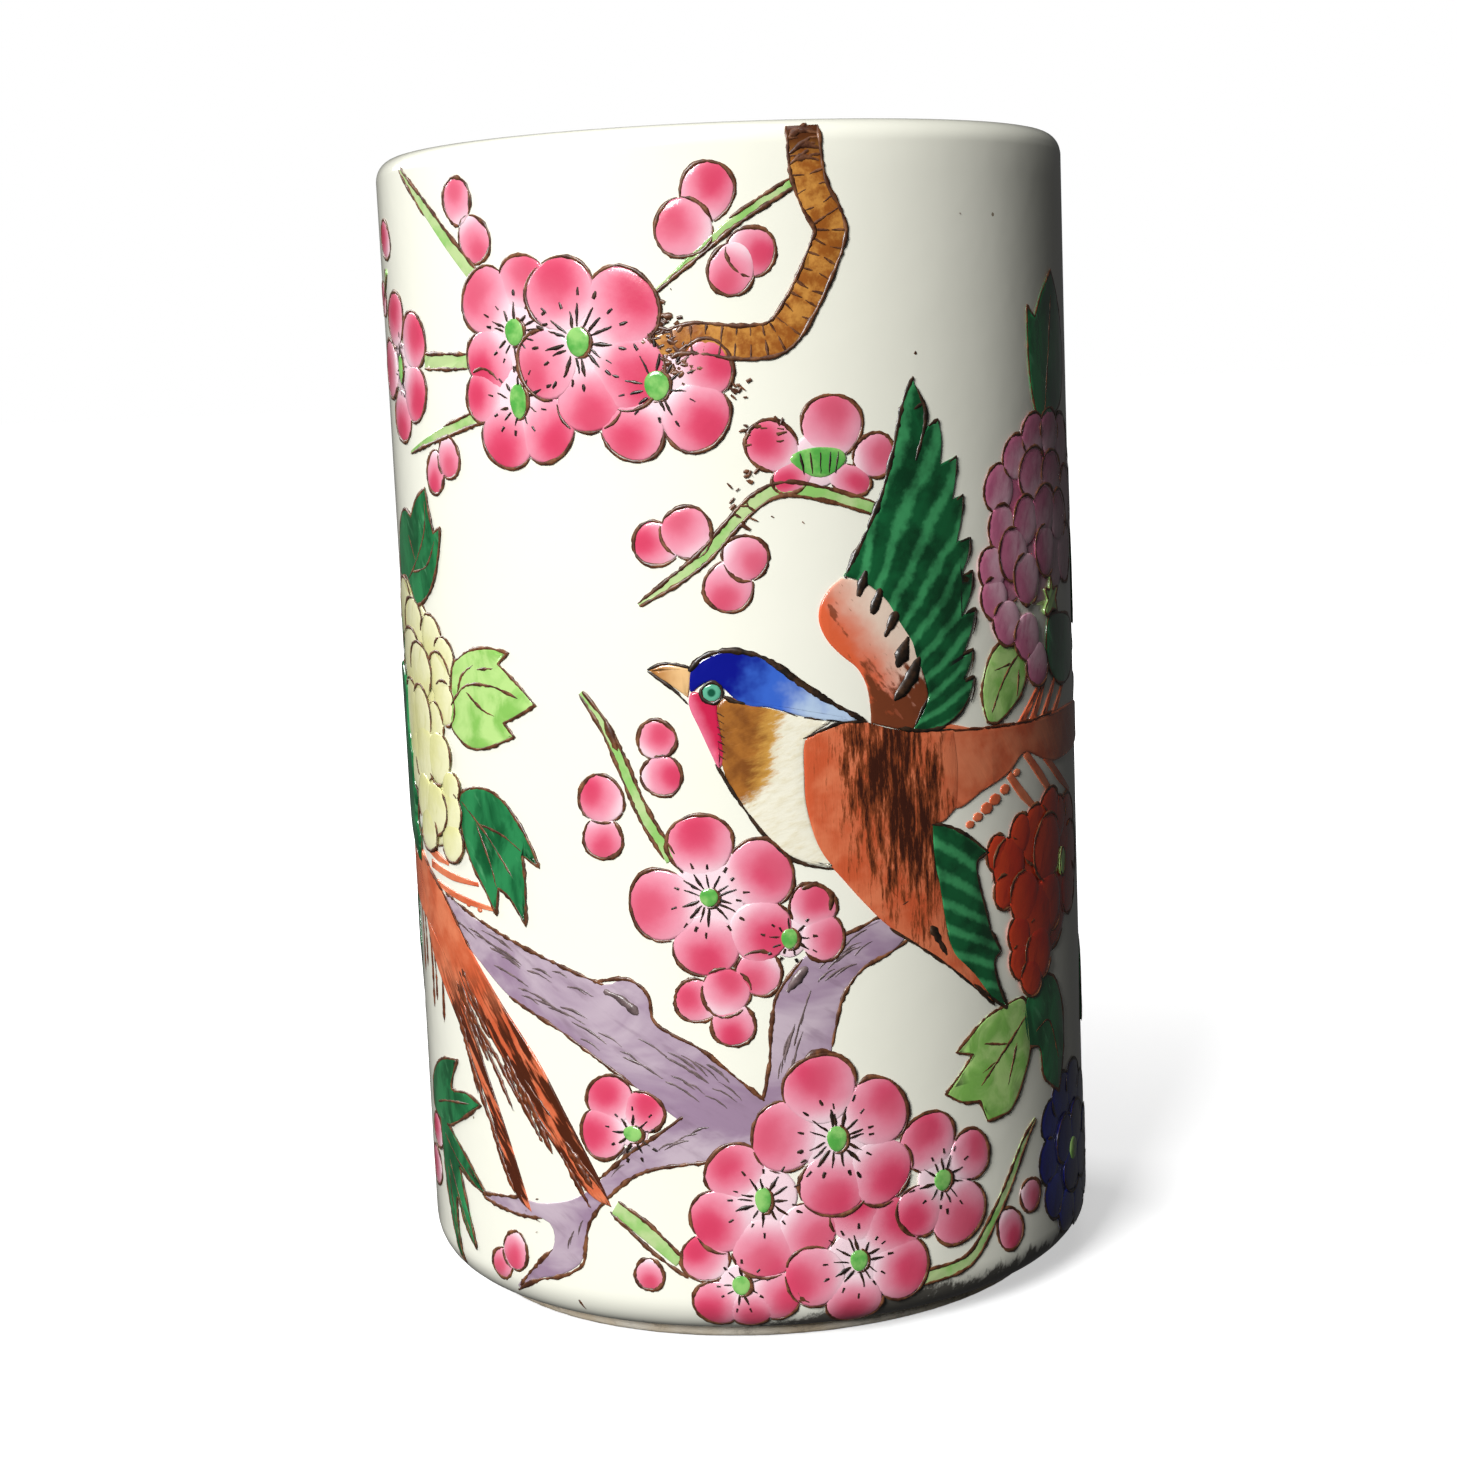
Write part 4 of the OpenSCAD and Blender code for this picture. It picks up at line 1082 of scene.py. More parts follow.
rose_lobes = [
    (38, 80, 8), (44, 82, 7), (31, 76, 3), (45, 88, 2.8), (46.4, 82.4, 2.8), (45.4, 76.6, 2.8),
    (29.7, 84.1, 2.2), (32.7, 87, 2.1), (36.4, 88.9, 2.3), (40.4, 89.2, 2.3), (30, 80.2, 2.1),
    (35.9, 85.1, 2.6), (40.6, 84.6, 2.6), (42.6, 80.6, 2.4), (38.3, 81.2, 2.6), (34.1, 80.6, 2.3),
    (38.4, 77.4, 2.4), (28.2, 76.3, 2), (28.3, 73.4, 1.9), (31.6, 77.5, 2.4), (34, 74.9, 2.4),
    (30.2, 70.8, 2.1), (33.8, 69, 2.3), (35.7, 66, 2.1)]
red_lobes = [
    (37, 43, 6.5), (43, 45, 4.5), (44, 48.4, 2.6), (44.6, 45, 2.8), (43.6, 41.4, 2.6),
    (40.4, 49.2, 2.2), (38.2, 50.2, 2.4), (34.8, 48.4, 2.8), (31.8, 49, 1.9), (27.9, 47.7, 1.7),
    (29.6, 46.2, 2.5), (28.7, 43.6, 1.6), (37.4, 46.6, 3.2), (37.4, 41, 2.8), (34.8, 40, 3.2),
    (32.2, 42.4, 2.6), (31, 38.7, 1.9), (31.1, 36, 1.8), (34.6, 36.2, 2.5), (33, 34, 1.9)]
blue_lobes = [
    (42.5, 13, 6), (36.6, 17.6, 2), (39.6, 19.4, 2.4), (43.6, 19.8, 2.5), (47.2, 17.6, 2.4),
    (36, 13.4, 2.2), (37, 9.4, 2.2), (40.4, 6.8, 2.3), (44.6, 6.6, 2.4), (48.4, 9, 2.4),
    (49.4, 13, 2.4), (40.2, 14.6, 2.4), (44.2, 15.2, 2.4), (42, 11, 2.4), (45.8, 11.4, 2.2)]


def petal_finish(name, tip_colour, inner_colour, streak_colour):
    """Opaque enamel, strongest at the tip where the brush first touched, and streaked inwards."""
    finish = Recipe(name, roughness=0.22, coat=0.6, coat_roughness=0.06)
    ahead = finish.split(finish.place(uv="petal"))[1]
    brushy = finish.noise(0.5, detail=5, rough=0.6)
    reach = finish.sum("ADD", ahead, finish.sum("MULTIPLY_ADD", brushy, 1.6, -0.8))
    lobe = finish.shade(reach, -0.7, 0.7, inner_colour, tip_colour)
    streaks = finish.noise(0.8, detail=5, stretch=(1, 0.3, 1), turn=20, uv="sheet")
    finish.colour(finish.mix(finish.between(streaks, 0.5, 0.72, 0, 0.6), lobe, streak_colour))
    finish.bump(brushy, 0.05)
    return finish


petal_pattern = model_petal()
for name, lobes, heart, extra, width, finish, slot, node_name in (
        ("cream_peonies_laid", cream_lobes, (-43, 62), (70, 70, 10), 0.34,
         petal_finish("cream_enamel", srgb(240, 238, 192), srgb(228, 226, 160), srgb(214, 212, 148)),
         "cream_enamel", "cream_peonies"),
        ("rose_peonies_laid", rose_lobes, (40, 78), (86, 30, 10.6), 0.36,
         petal_finish("rose_enamel", srgb(204, 112, 146), srgb(234, 186, 202), srgb(180, 84, 124)),
         "rose_enamel", "rose_peonies"),
        ("red_peonies_laid", red_lobes, (41, 44.5), (-86, 54, 9.6), 0.36,
         petal_finish("iron_red_enamel", srgb(206, 66, 34), srgb(188, 48, 30), srgb(150, 34, 26)),
         "iron_red_enamel", "red_peonies")):
    bunch = Bunch()
    flower(lobes, 1, bunch, heart)
    flower(full_flower(*extra), 2, bunch, extra[:2])
    fire_on(bunch.copies, name, finish, slot, node_name)
    draw_ink(name.replace("laid", "ink"), bunch.ink(width, 105), brown_ink, "black_enamel", 43)
bunch = Bunch()
flower(blue_lobes, 1, bunch, (42.5, 13))
flower(full_flower(62, 14, 7.6), 2, bunch, (62, 14))
flower(full_flower(-66, 14, 7), 3, bunch, (-66, 14))
blue_finish = petal_finish("blue_enamel", srgb(26, 30, 108), srgb(44, 54, 140), srgb(18, 18, 70))
fire_on(bunch.copies, "blue_flowers_laid", blue_finish, "blue_enamel", "blue_flowers")
draw_ink("blue_flowers_ink", bunch.ink(0.34, 105), black_ink, "black_enamel", 44)
bpy.data.objects.remove(petal_pattern)

sepals = [
    [(39.4, 74.6, 1), (39.9, 73.2, 1), (41.4, 73.4, 1), (40.6, 72.2, 1), (41.2, 70.8, 1),
     (39.7, 71.2, 1), (38.2, 70.6), (37.6, 71.2, 1), (38.6, 72.2, 1), (37.8, 73.4, 1), (39, 73.2, 1)],
    [(41, 46), (40.2, 44.8), (40.4, 43.4), (41.2, 43), (41.9, 44.2), (41.7, 45.6)]]
flower_hearts = [enamel_patch(drawn_line(points, True, 0.5), 0.34, rim=0.06) for points in sepals]
for along, up in ((70, 70), (86, 30), (-86, 54), (62, 14), (-66, 14), (42.4, 13)):
    bead = drawn_line(ring(along, up, 1.3, 1.3, np.arange(0, 6.2, 0.8)), True, 0.5)
    flower_hearts.append(enamel_patch(bead, 0.36))
fire_on(flower_hearts, "flower_hearts", pale_green, "pale_green_enamel")
draw_ink("sepal_ink", [(points, 0.34, 0.33, True) for points in sepals], brown_ink, "black_enamel", 45)

# ---- The birds' heads ----
# Two swallow-tailed birds in flight, one at the front and one flying off round the left side. Each
# is drawn once, about a point in its breast, and turned into place: an ochre beak, a cobalt crown,
# and a magenta throat.

bird_places = [(0, 60, 0, 1, 1), (-66, 61, -35, 1, 0.85)]


def put_on(patches, places=bird_places, root=(0, 0)):
    """Copies flat patches to each place: along, up, turn in degrees, growth from a root, and build."""
    placed = []
    for along, up, turn, grow, build in places:
        for patch in patches:
            copy = own_copy(patch)
            copy.data.transform(Matrix.Translation((along, 0, up))
                                @ Matrix.Rotation(math.radians(-turn), 4, "Y")
                                @ Matrix.Diagonal((grow, build, grow, 1))
                                @ Matrix.Translation((-root[0], 0, -root[1])))
            if turn:
                cut_into_strips(copy)
            placed.append(copy)
    for patch in patches:
        bpy.data.objects.remove(patch)
    return placed


def put_lines(jobs, places=bird_places, root=(0, 0)):
    placed = []
    for along, up, turn, grow, build in places:
        cos, sin = math.cos(math.radians(turn)), math.sin(math.radians(turn))
        for points, width, rise, *closed in jobs:
            moved = []
            for x, z, *corner in points:
                x, z = (x - root[0]) * grow, (z - root[1]) * grow
                moved.append((along + x * cos - z * sin, up + x * sin + z * cos, *corner))
            placed.append((moved, width * grow * build, rise * build, *closed))
    return placed


def bird_patch(points, thick=enamel_thick, rim=0.1):
    return enamel_patch(drawn_line(points, True, 0.5), thick, rim, name="bird")


beak = [(-8.7, 8.8, 1), (-7.4, 9.3), (-6, 9.2), (-4.6, 8.8, 1), (-4.7, 7.6), (-5, 6.1, 1), (-6.2, 7)]
crown = [
    (-4.7, 8.4), (-3.5, 9.7), (-1.5, 10.4), (0.5, 10.2), (2.5, 9.4), (5, 7.6), (7, 6), (9, 4.7),
    (12.2, 2.9, 1), (9.5, 3), (6.5, 3.6), (4, 4.4), (2.4, 4.9), (1, 5), (-0.4, 5.7), (-1.6, 6.9),
    (-2.8, 7.6), (-3.9, 7.1), (-4.7, 6.6)]
throat = [
    (-4.7, 6.5), (-3.9, 6.5), (-2.4, 6), (-2.2, 4), (-1.9, 1.5), (-1.8, 0.2), (-2.3, -0.9), (-3.1, 0.8),
    (-4, 3), (-4.9, 5.2)]
eye_spot = (-2.7, 6.5)
eye = ring(*eye_spot, 0.95, 0.95, np.arange(0, 6.2, 0.7))

beak_ochre = Recipe("ochre_enamel", roughness=0.25, coat=0.6)
beak_along = beak_ochre.split(beak_ochre.place(uv="bird"))[0]
beak_pool = beak_ochre.noise(0.7, detail=4, uv="bird")
beak_share = beak_ochre.sum("MULTIPLY_ADD", beak_pool, 2.0, beak_along)
beak_ochre.colour(beak_ochre.shade(beak_share, -7.2, -4.4, srgb(186, 124, 62), srgb(234, 190, 132)))
beak_ochre.bump(beak_pool, 0.04)
fire_on(put_on([bird_patch(beak)]), "bird_beaks_laid", beak_ochre, "ochre_enamel", "bird_beaks")

cobalt = Recipe("cobalt_enamel", roughness=0.16, coat=0.8)
crown_along, crown_up, _ = cobalt.split(cobalt.place(uv="bird"))
crown_pool = cobalt.noise(0.34, detail=3, uv="bird")
crown_fade = cobalt.sum("MULTIPLY_ADD", crown_pool, 9.0, crown_along)
crown_fade = cobalt.sum("MULTIPLY_ADD", crown_up, -0.55, crown_fade)
blue = cobalt.shade(crown_fade, -1.2, 4.0, srgb(8, 18, 138), srgb(58, 104, 206))
cobalt.colour(cobalt.shade(crown_fade, 4.2, 10.5, blue, srgb(186, 208, 234)))
cobalt.bump(crown_pool, 0.05)
fire_on(put_on([bird_patch(crown)]), "bird_crowns_laid", cobalt, "cobalt_enamel", "bird_crowns")

magenta = Recipe("magenta_enamel", roughness=0.22, coat=0.6)
throat_along, throat_up, _ = magenta.split(magenta.place(uv="bird"))
throat_pool = magenta.noise(0.5, detail=4, uv="bird")
throat_reach = magenta.sum("MULTIPLY_ADD", throat_up, 0.4, throat_along)
throat_reach = magenta.sum("MULTIPLY_ADD", throat_pool, 1.2, throat_reach)
magenta.colour(magenta.shade(throat_reach, -2.6, -0.9, srgb(240, 130, 160), srgb(202, 34, 76)))
magenta.bump(throat_pool, 0.04)
fire_on(put_on([bird_patch(throat)]), "bird_throats_laid", magenta, "magenta_enamel", "bird_throats")

eye_teal = Recipe("eye_teal", roughness=0.15, coat=0.8)
eye_along, eye_up, _ = eye_teal.split(eye_teal.place(uv="bird"))
eye_off = eye_teal.far(eye_teal.sum("SUBTRACT", eye_along, eye_spot[0]),
                       eye_teal.sum("SUBTRACT", eye_up, eye_spot[1]))
eye_teal.colour(eye_teal.shade(eye_off, 0.28, 0.5, srgb(18, 84, 60), srgb(96, 178, 146)))
eye_teal.bump(eye_teal.noise(1.0), 0.03)
fire_on(put_on([bird_patch(eye, 0.27)]), "bird_eyes_laid", eye_teal, "lime_enamel", "bird_eyes")

# ---- The birds' breasts and bodies ----
# An ochre-brown bib feathered out into a cream belly, then a coral back, gone over while wet with
# dry upright strokes of umber.

breast = [
    (-2.2, 5.2), (-1, 6), (0.6, 5.2), (2.8, 4.7), (5, 4), (8.6, 3, 1), (6.2, 1.4), (5.9, -2), (6, -5),
    (6.9, -8.5), (8.6, -11.2, 1), (6, -10.6), (3.6, -9.3), (1.4, -6.8), (-0.6, -3.8), (-1.9, -1),
    (-1.9, 1.5), (-2.1, 3.5)]
body = [
    (5.9, 1.5, 1), (8, 2.3), (9.5, 2.8), (12, 2.8), (15.6, 1.7), (22.2, 0.9, 1), (22.6, -3),
    (22.3, -6.8, 1), (20.6, -8), (19.4, -8.4), (19.4, -12), (19.9, -14), (20.4, -17.6), (21.2, -20.8),
    (24.2, -24), (26.6, -27.4, 1), (23.6, -25), (21, -22.8), (17.5, -20.2), (14, -17.7), (11.5, -15.1),
    (9.2, -12.3), (7.1, -9.5), (6, -5), (5.9, -2)]
arm = [
    (10.3, 16.8, 1), (9, 15.8), (8.1, 14.4), (7.9, 12.8), (8.6, 11), (10, 9.4), (11.6, 8), (12.5, 6.2),
    (12.8, 4), (12.8, 2.6, 1), (15.8, 1.7), (17.3, 1.5, 1), (18.4, 3), (19.2, 4.7), (18.4, 8),
    (17.2, 11.4), (15, 14.3), (12.6, 16.2)]

bib = Recipe("umber_enamel", roughness=0.24, coat=0.6)
bib_along, bib_up, _ = bib.split(bib.place(uv="bird"))
plume = bib.noise(0.9, detail=5, rough=0.7, stretch=(0.5, 1.6, 1), turn=-20, uv="bird")
bib_pool = bib.noise(0.4, detail=3, uv="bird")
bib_reach = bib.sum("MULTIPLY_ADD", plume, 4.4, bib_along)
bib_reach = bib.sum("MULTIPLY_ADD", bib_up, -0.18, bib_reach)
umber = bib.shade(bib_pool, 0.35, 0.65, srgb(170, 108, 44), srgb(130, 76, 30))
golden = bib.shade(bib_reach, 2.6, 5.0, umber, srgb(206, 154, 72))
below_bib = bib.sum("MULTIPLY_ADD", plume, 4.0, bib_up)
below_bib = bib.sum("MULTIPLY_ADD", bib_along, -0.5, below_bib)
belly = bib.shade(plume, 0.4, 0.75, srgb(246, 242, 222), srgb(232, 222, 190))
breast_colour = bib.shade(bib_reach, 4.6, 5.8, golden, belly)
bib.colour(bib.shade(below_bib, -1.4, -2.8, breast_colour, belly))
bib.bump(plume, 0.05)
fire_on(put_on([bird_patch(breast)]), "bird_breasts_laid", bib, "umber_enamel", "bird_breasts")


def coral_finish(name, dark_along, dark_up, dark_wide, dark_tall):
    """Coral with a dark patch of dry upright brush strokes about a place on the bird."""
    finish = Recipe(name, roughness=0.24, coat=0.55, coat_roughness=0.07)
    along, up, _ = finish.split(finish.place(uv="bird"))
    pool = finish.noise(0.22, detail=4, uv="bird")
    dry = finish.noise(1.0, detail=6, rough=0.75, stretch=(1.6, 0.22, 1), uv="bird")
    broad = finish.noise(1.0, detail=3, stretch=(0.55, 0.16, 1), uv="bird")
    coral = finish.shade(pool, 0.36, 0.64, srgb(226, 126, 86), srgb(206, 92, 54))
    spot = finish.sum("MULTIPLY_ADD", up, 0.2, along)
    wide = finish.sum("DIVIDE", finish.sum("SUBTRACT", spot, dark_along), dark_wide)
    tall = finish.sum("DIVIDE", finish.sum("SUBTRACT", up, dark_up), dark_tall)
    inside = finish.between(finish.far(wide, tall), 1.9, 0.1)
    load = finish.sum("ADD", dry, finish.sum("MULTIPLY_ADD", inside, 0.36, -0.26))
    load = finish.sum("ADD", load, finish.sum("MULTIPLY_ADD", broad, 0.4, -0.2))
    stroke = finish.between(load, 0.42, 0.52)
    darkest = finish.between(load, 0.5, 0.62)
    umber = finish.mix(darkest, srgb(136, 66, 34), srgb(62, 26, 14))
    finish.colour(finish.mix(stroke, coral, umber))
    finish.bump(dry, 0.06)
    return finish


coral_back = coral_finish("coral_enamel", 14.4, -4, 6, 15)
fire_on(put_on([bird_patch(body)]), "bird_bodies_laid", coral_back, "coral_enamel", "bird_bodies")

# ---- The birds' wings ----
# A coral shoulder that fades to cream, then long flight feathers in dark green, brushed one beside
# another, with black marks where they spring from the shoulder.

upper_wing = [
    (18.6, 35.3, 1), (19.6, 33), (19.8, 31.5), (19.5, 29.9, 1), (20.2, 30.8), (21.4, 31.4, 1),
    (21.8, 29.5), (21.5, 27, 1), (22.3, 27.3), (23.6, 27.7, 1), (23.4, 25.5), (22.9, 23.6, 1),
    (24.3, 23.9, 1), (24, 21.5), (23.3, 19.4, 1), (25.1, 19.7, 1), (24.7, 17.8), (23.8, 16.1, 1),
    (25.3, 16.4, 1), (24.9, 14), (23.6, 12, 1), (25.6, 12.7, 1), (24.8, 10.3), (23.5, 8, 1),
    (25, 8.7, 1), (24.6, 7.2), (23.8, 5.9, 1), (25.1, 6, 1), (24.3, 4), (22.9, 2.5), (21, 1.5),
    (19.3, 1.2), (17.3, 1.5, 1), (18.4, 3), (19.3, 4.7, 1), (18.9, 6.5), (17.9, 8.5), (17.5, 10),
    (16.6, 11.4), (15.6, 13), (14.9, 14.3), (13.8, 15.4), (12.6, 16.2), (10.5, 17, 1), (11.9, 19.1),
    (13.5, 22), (14.6, 24.2), (16, 28.2), (17.4, 33.4)]
lower_wing = [
    (19.1, -8.1, 1), (21, -8.6), (23.3, -9.8), (26.2, -11.9, 1), (24.7, -12.6), (24.9, -15),
    (25.8, -18), (26.4, -20), (27.8, -22.4, 1), (26.8, -23.2), (27.2, -25.5), (28.4, -28.2, 1),
    (26.3, -26.8), (24.2, -24.4), (22.6, -22.8), (21.3, -21.4), (20.6, -18.8), (19.9, -15), (19.3, -11)]
raised_wing_places = [(12, 65, 0, 1, 1), (-53, 57, 60, 1.1, 0.45)]
wing_root = (12, 5)
feather_step = math.radians(5.7)


def feather_green(name, pivot, step, lean):
    """Green feathers fanned about a point, each one light down its middle and dark at its edge."""
    finish = Recipe(name, roughness=0.16, coat=0.8, coat_roughness=0.04)
    along, up, _ = finish.split(finish.place(uv="bird"))
    off_along = finish.sum("SUBTRACT", along, pivot[0])
    off_up = finish.sum("SUBTRACT", up, pivot[1])
    angle = finish.sum("ARCTAN2", off_up, off_along)
    sway = finish.noise(0.16, detail=2, uv="bird")
    angle = finish.sum("ADD", angle, finish.sum("MULTIPLY_ADD", sway, lean, -lean / 2))
    feather = finish.sum("FRACT", finish.sum("DIVIDE", angle, step))
    ridge = finish.sum("ABSOLUTE", finish.sum("SUBTRACT", feather, 0.5))
    pool = finish.noise(0.25, detail=4, uv="bird")
    dry = finish.noise(1.4, detail=4, uv="bird")
    ridge = finish.sum("ADD", ridge, finish.sum("MULTIPLY_ADD", dry, 0.3, -0.15))
    strength = finish.between(pool, 0.3, 0.62, 0.35, 1.0)
    light = finish.sum("MULTIPLY", finish.between(ridge, 0.3, 0.06), strength)
    dark = finish.shade(pool, 0.36, 0.64, srgb(6, 58, 30), srgb(18, 92, 50))
    finish.colour(finish.mix(light, dark, srgb(62, 152, 94)))
    finish.bump(ridge, 0.05)
    return finish


wing_green = feather_green("wing_green_enamel", (5.3, -4), feather_step, 0.1)
low_green = feather_green("low_wing_green", (60, -36), math.radians(3.1), 0.02)
pale_root = srgb(240, 216, 196)
coral_arm = Recipe("coral_shoulder", roughness=0.24, coat=0.55, coat_roughness=0.07)
arm_along, arm_up, _ = coral_arm.split(coral_arm.place(uv="bird"))
arm_pool = coral_arm.noise(0.4, detail=4, uv="bird")
arm_fade = coral_arm.sum("MULTIPLY_ADD", arm_up, 0.62, arm_along)
arm_fade = coral_arm.sum("MULTIPLY_ADD", arm_pool, 3.4, arm_fade)
arm_tone = coral_arm.shade(arm_fade, 18.2, 24.5, srgb(224, 100, 60), pale_root)
arm_streak = coral_arm.noise(0.8, detail=5, stretch=(1, 0.4, 1), turn=-40, uv="bird")
arm_low = coral_arm.between(coral_arm.sum("MULTIPLY_ADD", arm_streak, 18.0, arm_up), 17, 14.5)
arm_speck = coral_arm.between(arm_streak, 0.6, 0.66, 0, 0.8)
arm_dark = coral_arm.sum("MAXIMUM", arm_low, arm_speck)
coral_arm.colour(coral_arm.mix(arm_dark, arm_tone, srgb(120, 60, 34)))
coral_arm.bump(arm_pool, 0.05)
fire_on(put_on([bird_patch(arm)], raised_wing_places, wing_root), "wing_shoulders_laid", coral_arm,
        "coral_enamel")
feathers = put_on([bird_patch(upper_wing, 0.24, 0.07)], raised_wing_places, wing_root)
fire_on(feathers, "raised_wings_laid", wing_green, "wing_green_enamel", "bird_wings")
fire_on(put_on([bird_patch(lower_wing, 0.24, 0.07)]), "low_wings_laid", low_green,
        "wing_green_enamel")

# ---- The birds' tails ----
# Long coral streamers that run on from the body, streaked with rust brown and fringed with loose
# coral strokes.

front_tail = [
    (20.5, 61.1), (26, 60.6), (34, 60.3), (46, 60.5), (54, 59.6), (60, 57.6, 1), (50, 55.8), (42, 55.3),
    (38, 55.6), (33, 57.2), (30, 55.6), (26, 54.4), (21.6, 53.4)]
back_tails = [
    [(-49, 49.6, 1), (-44, 47.3), (-38, 43.8), (-33, 39), (-28, 34), (-23.4, 29), (-20, 23.6),
     (-16.6, 17.6), (-15.4, 14.8, 1), (-18, 16), (-22, 20.5), (-26, 25.6), (-31, 31), (-36, 35),
     (-42, 39.5), (-51.4, 43.4)],
    [(-45, 41, 1), (-38, 37), (-34.6, 32.4), (-31.6, 27), (-28.4, 20.4), (-25.4, 12.8, 1), (-28, 14.8),
     (-31, 22), (-34.4, 28), (-37.6, 32), (-42.6, 37)]]
loose_strokes = [
    [(32, 60, 1), (36, 63.5, 0.5)], [(34.4, 60, 1.1), (38.4, 65, 0.5)],
    [(36.8, 60, 1), (41, 64.4, 0.5)], [(39.6, 60, 1), (44, 63.6, 0.4)],
    [(30, 55.4, 0.9), (32.4, 53, 1.1), (35.4, 50.8, 0.6)],
    [(33, 57.2, 0.9), (36.6, 54, 1.1), (40, 51, 0.6)],
    [(37, 56.4, 0.9), (41, 53.6, 1), (45, 51.4, 0.5)],
    [(-42, 48.5, 0.9), (-39.6, 48, 1), (-36.8, 47.6, 0.4)],
    [(-41.4, 47, 0.9), (-36, 46.4, 0.9), (-31, 46.2, 0.4)],
    [(-40, 45.2, 0.7), (-34, 44.3, 0.8), (-28.2, 43.9, 0.4)]]
drops = [
    (24, 51.2, 0.6), (25.1, 51.8, 0.7), (26.4, 52.5, 0.9), (27.7, 53.2, 0.9), (29.3, 54, 0.8),
    (31.4, 55.4, 0.6), (-31, 43.6, 0.4), (-33, 43.9, 0.4)]
tail_patches = [enamel_patch(drawn_line(points, True, 0.7), thick, name="bird")
                for points, thick in ((front_tail, 0.18), (back_tails[0], 0.18), (back_tails[1], 0.14))]
fringe_thick, fringe_rim = 0.14, 0.05
tail_patches += [enamel_patch(ribbon(spots), fringe_thick, fringe_rim, name="bird")
                 for spots in loose_strokes]
for along, up, size in drops:
    drop = ring(along, up, size, 0.7 * size, np.arange(0, 6.2, 0.9))
    tail_patches.append(enamel_patch(drop, fringe_thick, fringe_rim, name="bird"))
tail_coral = Recipe("coral_tail", roughness=0.24, coat=0.55, coat_roughness=0.07)
tail_along, tail_up, _ = tail_coral.split(tail_coral.place(uv="bird"))
tail_pool = tail_coral.noise(0.2, detail=4, uv="bird")
sweep = tail_coral.noise(0.9, detail=5, stretch=(0.16, 1.1, 1), turn=52, uv="bird")
tail_tone = tail_coral.shade(tail_pool, 0.34, 0.64, srgb(230, 132, 92), srgb(208, 96, 58))
on_left = tail_coral.between(tail_along, 0, -8)
low_down = tail_coral.between(tail_coral.sum("MULTIPLY_ADD", sweep, 16.0, tail_up), 47, 40)
rust = tail_coral.sum("MULTIPLY", tail_coral.sum("MULTIPLY", on_left, low_down),
                      tail_coral.between(sweep, 0.42, 0.5))
tail_coral.colour(tail_coral.mix(rust, tail_tone, srgb(78, 34, 16)))
tail_coral.bump(sweep, 0.06)
fire_on(tail_patches, "bird_tails_laid", tail_coral, "coral_enamel", "bird_tails")

# ---- The ink on the birds ----
# The drawing that holds the colours: a heavy line over the crown and down the leading edge of the
# wing, thin lines under the belly, and short dark feather marks.

head_lines = [([(-8.8, 8.8), (-7.4, 9.4), (-6, 9.3), (-4.6, 8.9)], 0.4, 0.16),
              ([(-8.8, 8.7), (-6.4, 6.9), (-5, 5.4)], 0.36, 0.16),
              ([(-4.8, 8.6), (-3.5, 9.9), (-1.5, 10.5), (0.5, 10.3), (2.5, 9.6), (5, 7.8), (7, 6.2),
                (9, 4.8), (12.3, 2.8)], 0.62, 0.2),
              ([(2.5, 9.5), (5, 7.6), (7, 6), (8.6, 4.9)], 0.5, 0.22),
              ([(12.3, 2.8), (10.4, 2.9)], 0.4, 0.2),
              ([(4, 4.5), (5.4, 3.8)], 0.26, 0.2), ([(6, 3.7), (7.8, 3.3)], 0.26, 0.2),
              ([(8.2, 3.3), (9.8, 3)], 0.26, 0.2),
              ([(-1.8, 6.2), (-0.6, 5.6), (0.4, 5.3)], 0.7, 0.2),
              (ring(*eye_spot, 1.05, 1.05, range(6)), 0.4, 0.24, True)]
head_lines += [([(-2.3, up), (-1.6, up - 0.45)], 0.26, 0.22)
               for up in (4.6, 3.9, 3.2, 2.5, 1.8, 1.1, 0.4)]
belly_lines = [
    ([(-2.6, -0.4), (-0.6, -4), (1.4, -7), (3.6, -9.5), (6, -10.8), (8.6, -11.4)], 0.42, 0.12),
    ([(5.9, 1.6), (8, 2.4), (9.5, 2.9), (10.8, 2.9)], 0.3, 0.2),
    ([(15.6, 1.8), (19, 1.3), (22.2, 1)], 0.32, 0.2),
    ([(14, -17.8), (17.5, -20.3), (21, -22.9), (23.6, -25.1), (26.8, -27.8)], 0.32, 0.14),
    ([(18.6, -18.2), (20.4, -21.4)], 0.9, 0.2)]
wing_lines = [
    ([(10.6, 16.8), (11.9, 19.1), (13.5, 22), (14.6, 24.2), (16, 28.2), (17.4, 33.2), (18.6, 35.6)],
     0.6, 0.2), ([(10.9, 17.4), (12, 19.6)], 0.9, 0.16), ([(18.5, 35), (18.8, 34.2)], 0.8, 0.2),
    ([(12.8, 17.4), (11.9, 15)], 1.2, 0.24), ([(14.3, 15.6), (13.2, 13.2)], 1.2, 0.24),
    ([(15.9, 13.2), (14.5, 10.9)], 1.2, 0.24), ([(17.1, 10.7), (15.7, 7.8)], 1.3, 0.24),
    ([(18.3, 8.6), (17, 6.4), (15.3, 4.6)], 1.3, 0.24), ([(19, 4.4), (17.4, 1.8)], 0.3, 0.24),
    ([(15.8, 1.8), (18.4, 1.3), (21, 1.4)], 0.4, 0.24)]
tips = [
    (19.6, 33), (21.4, 31.4), (23.6, 27.7), (24.3, 23.9), (25.1, 19.7), (25.3, 16.4), (25.6, 12.7),
    (25, 8.7), (25.1, 6)]
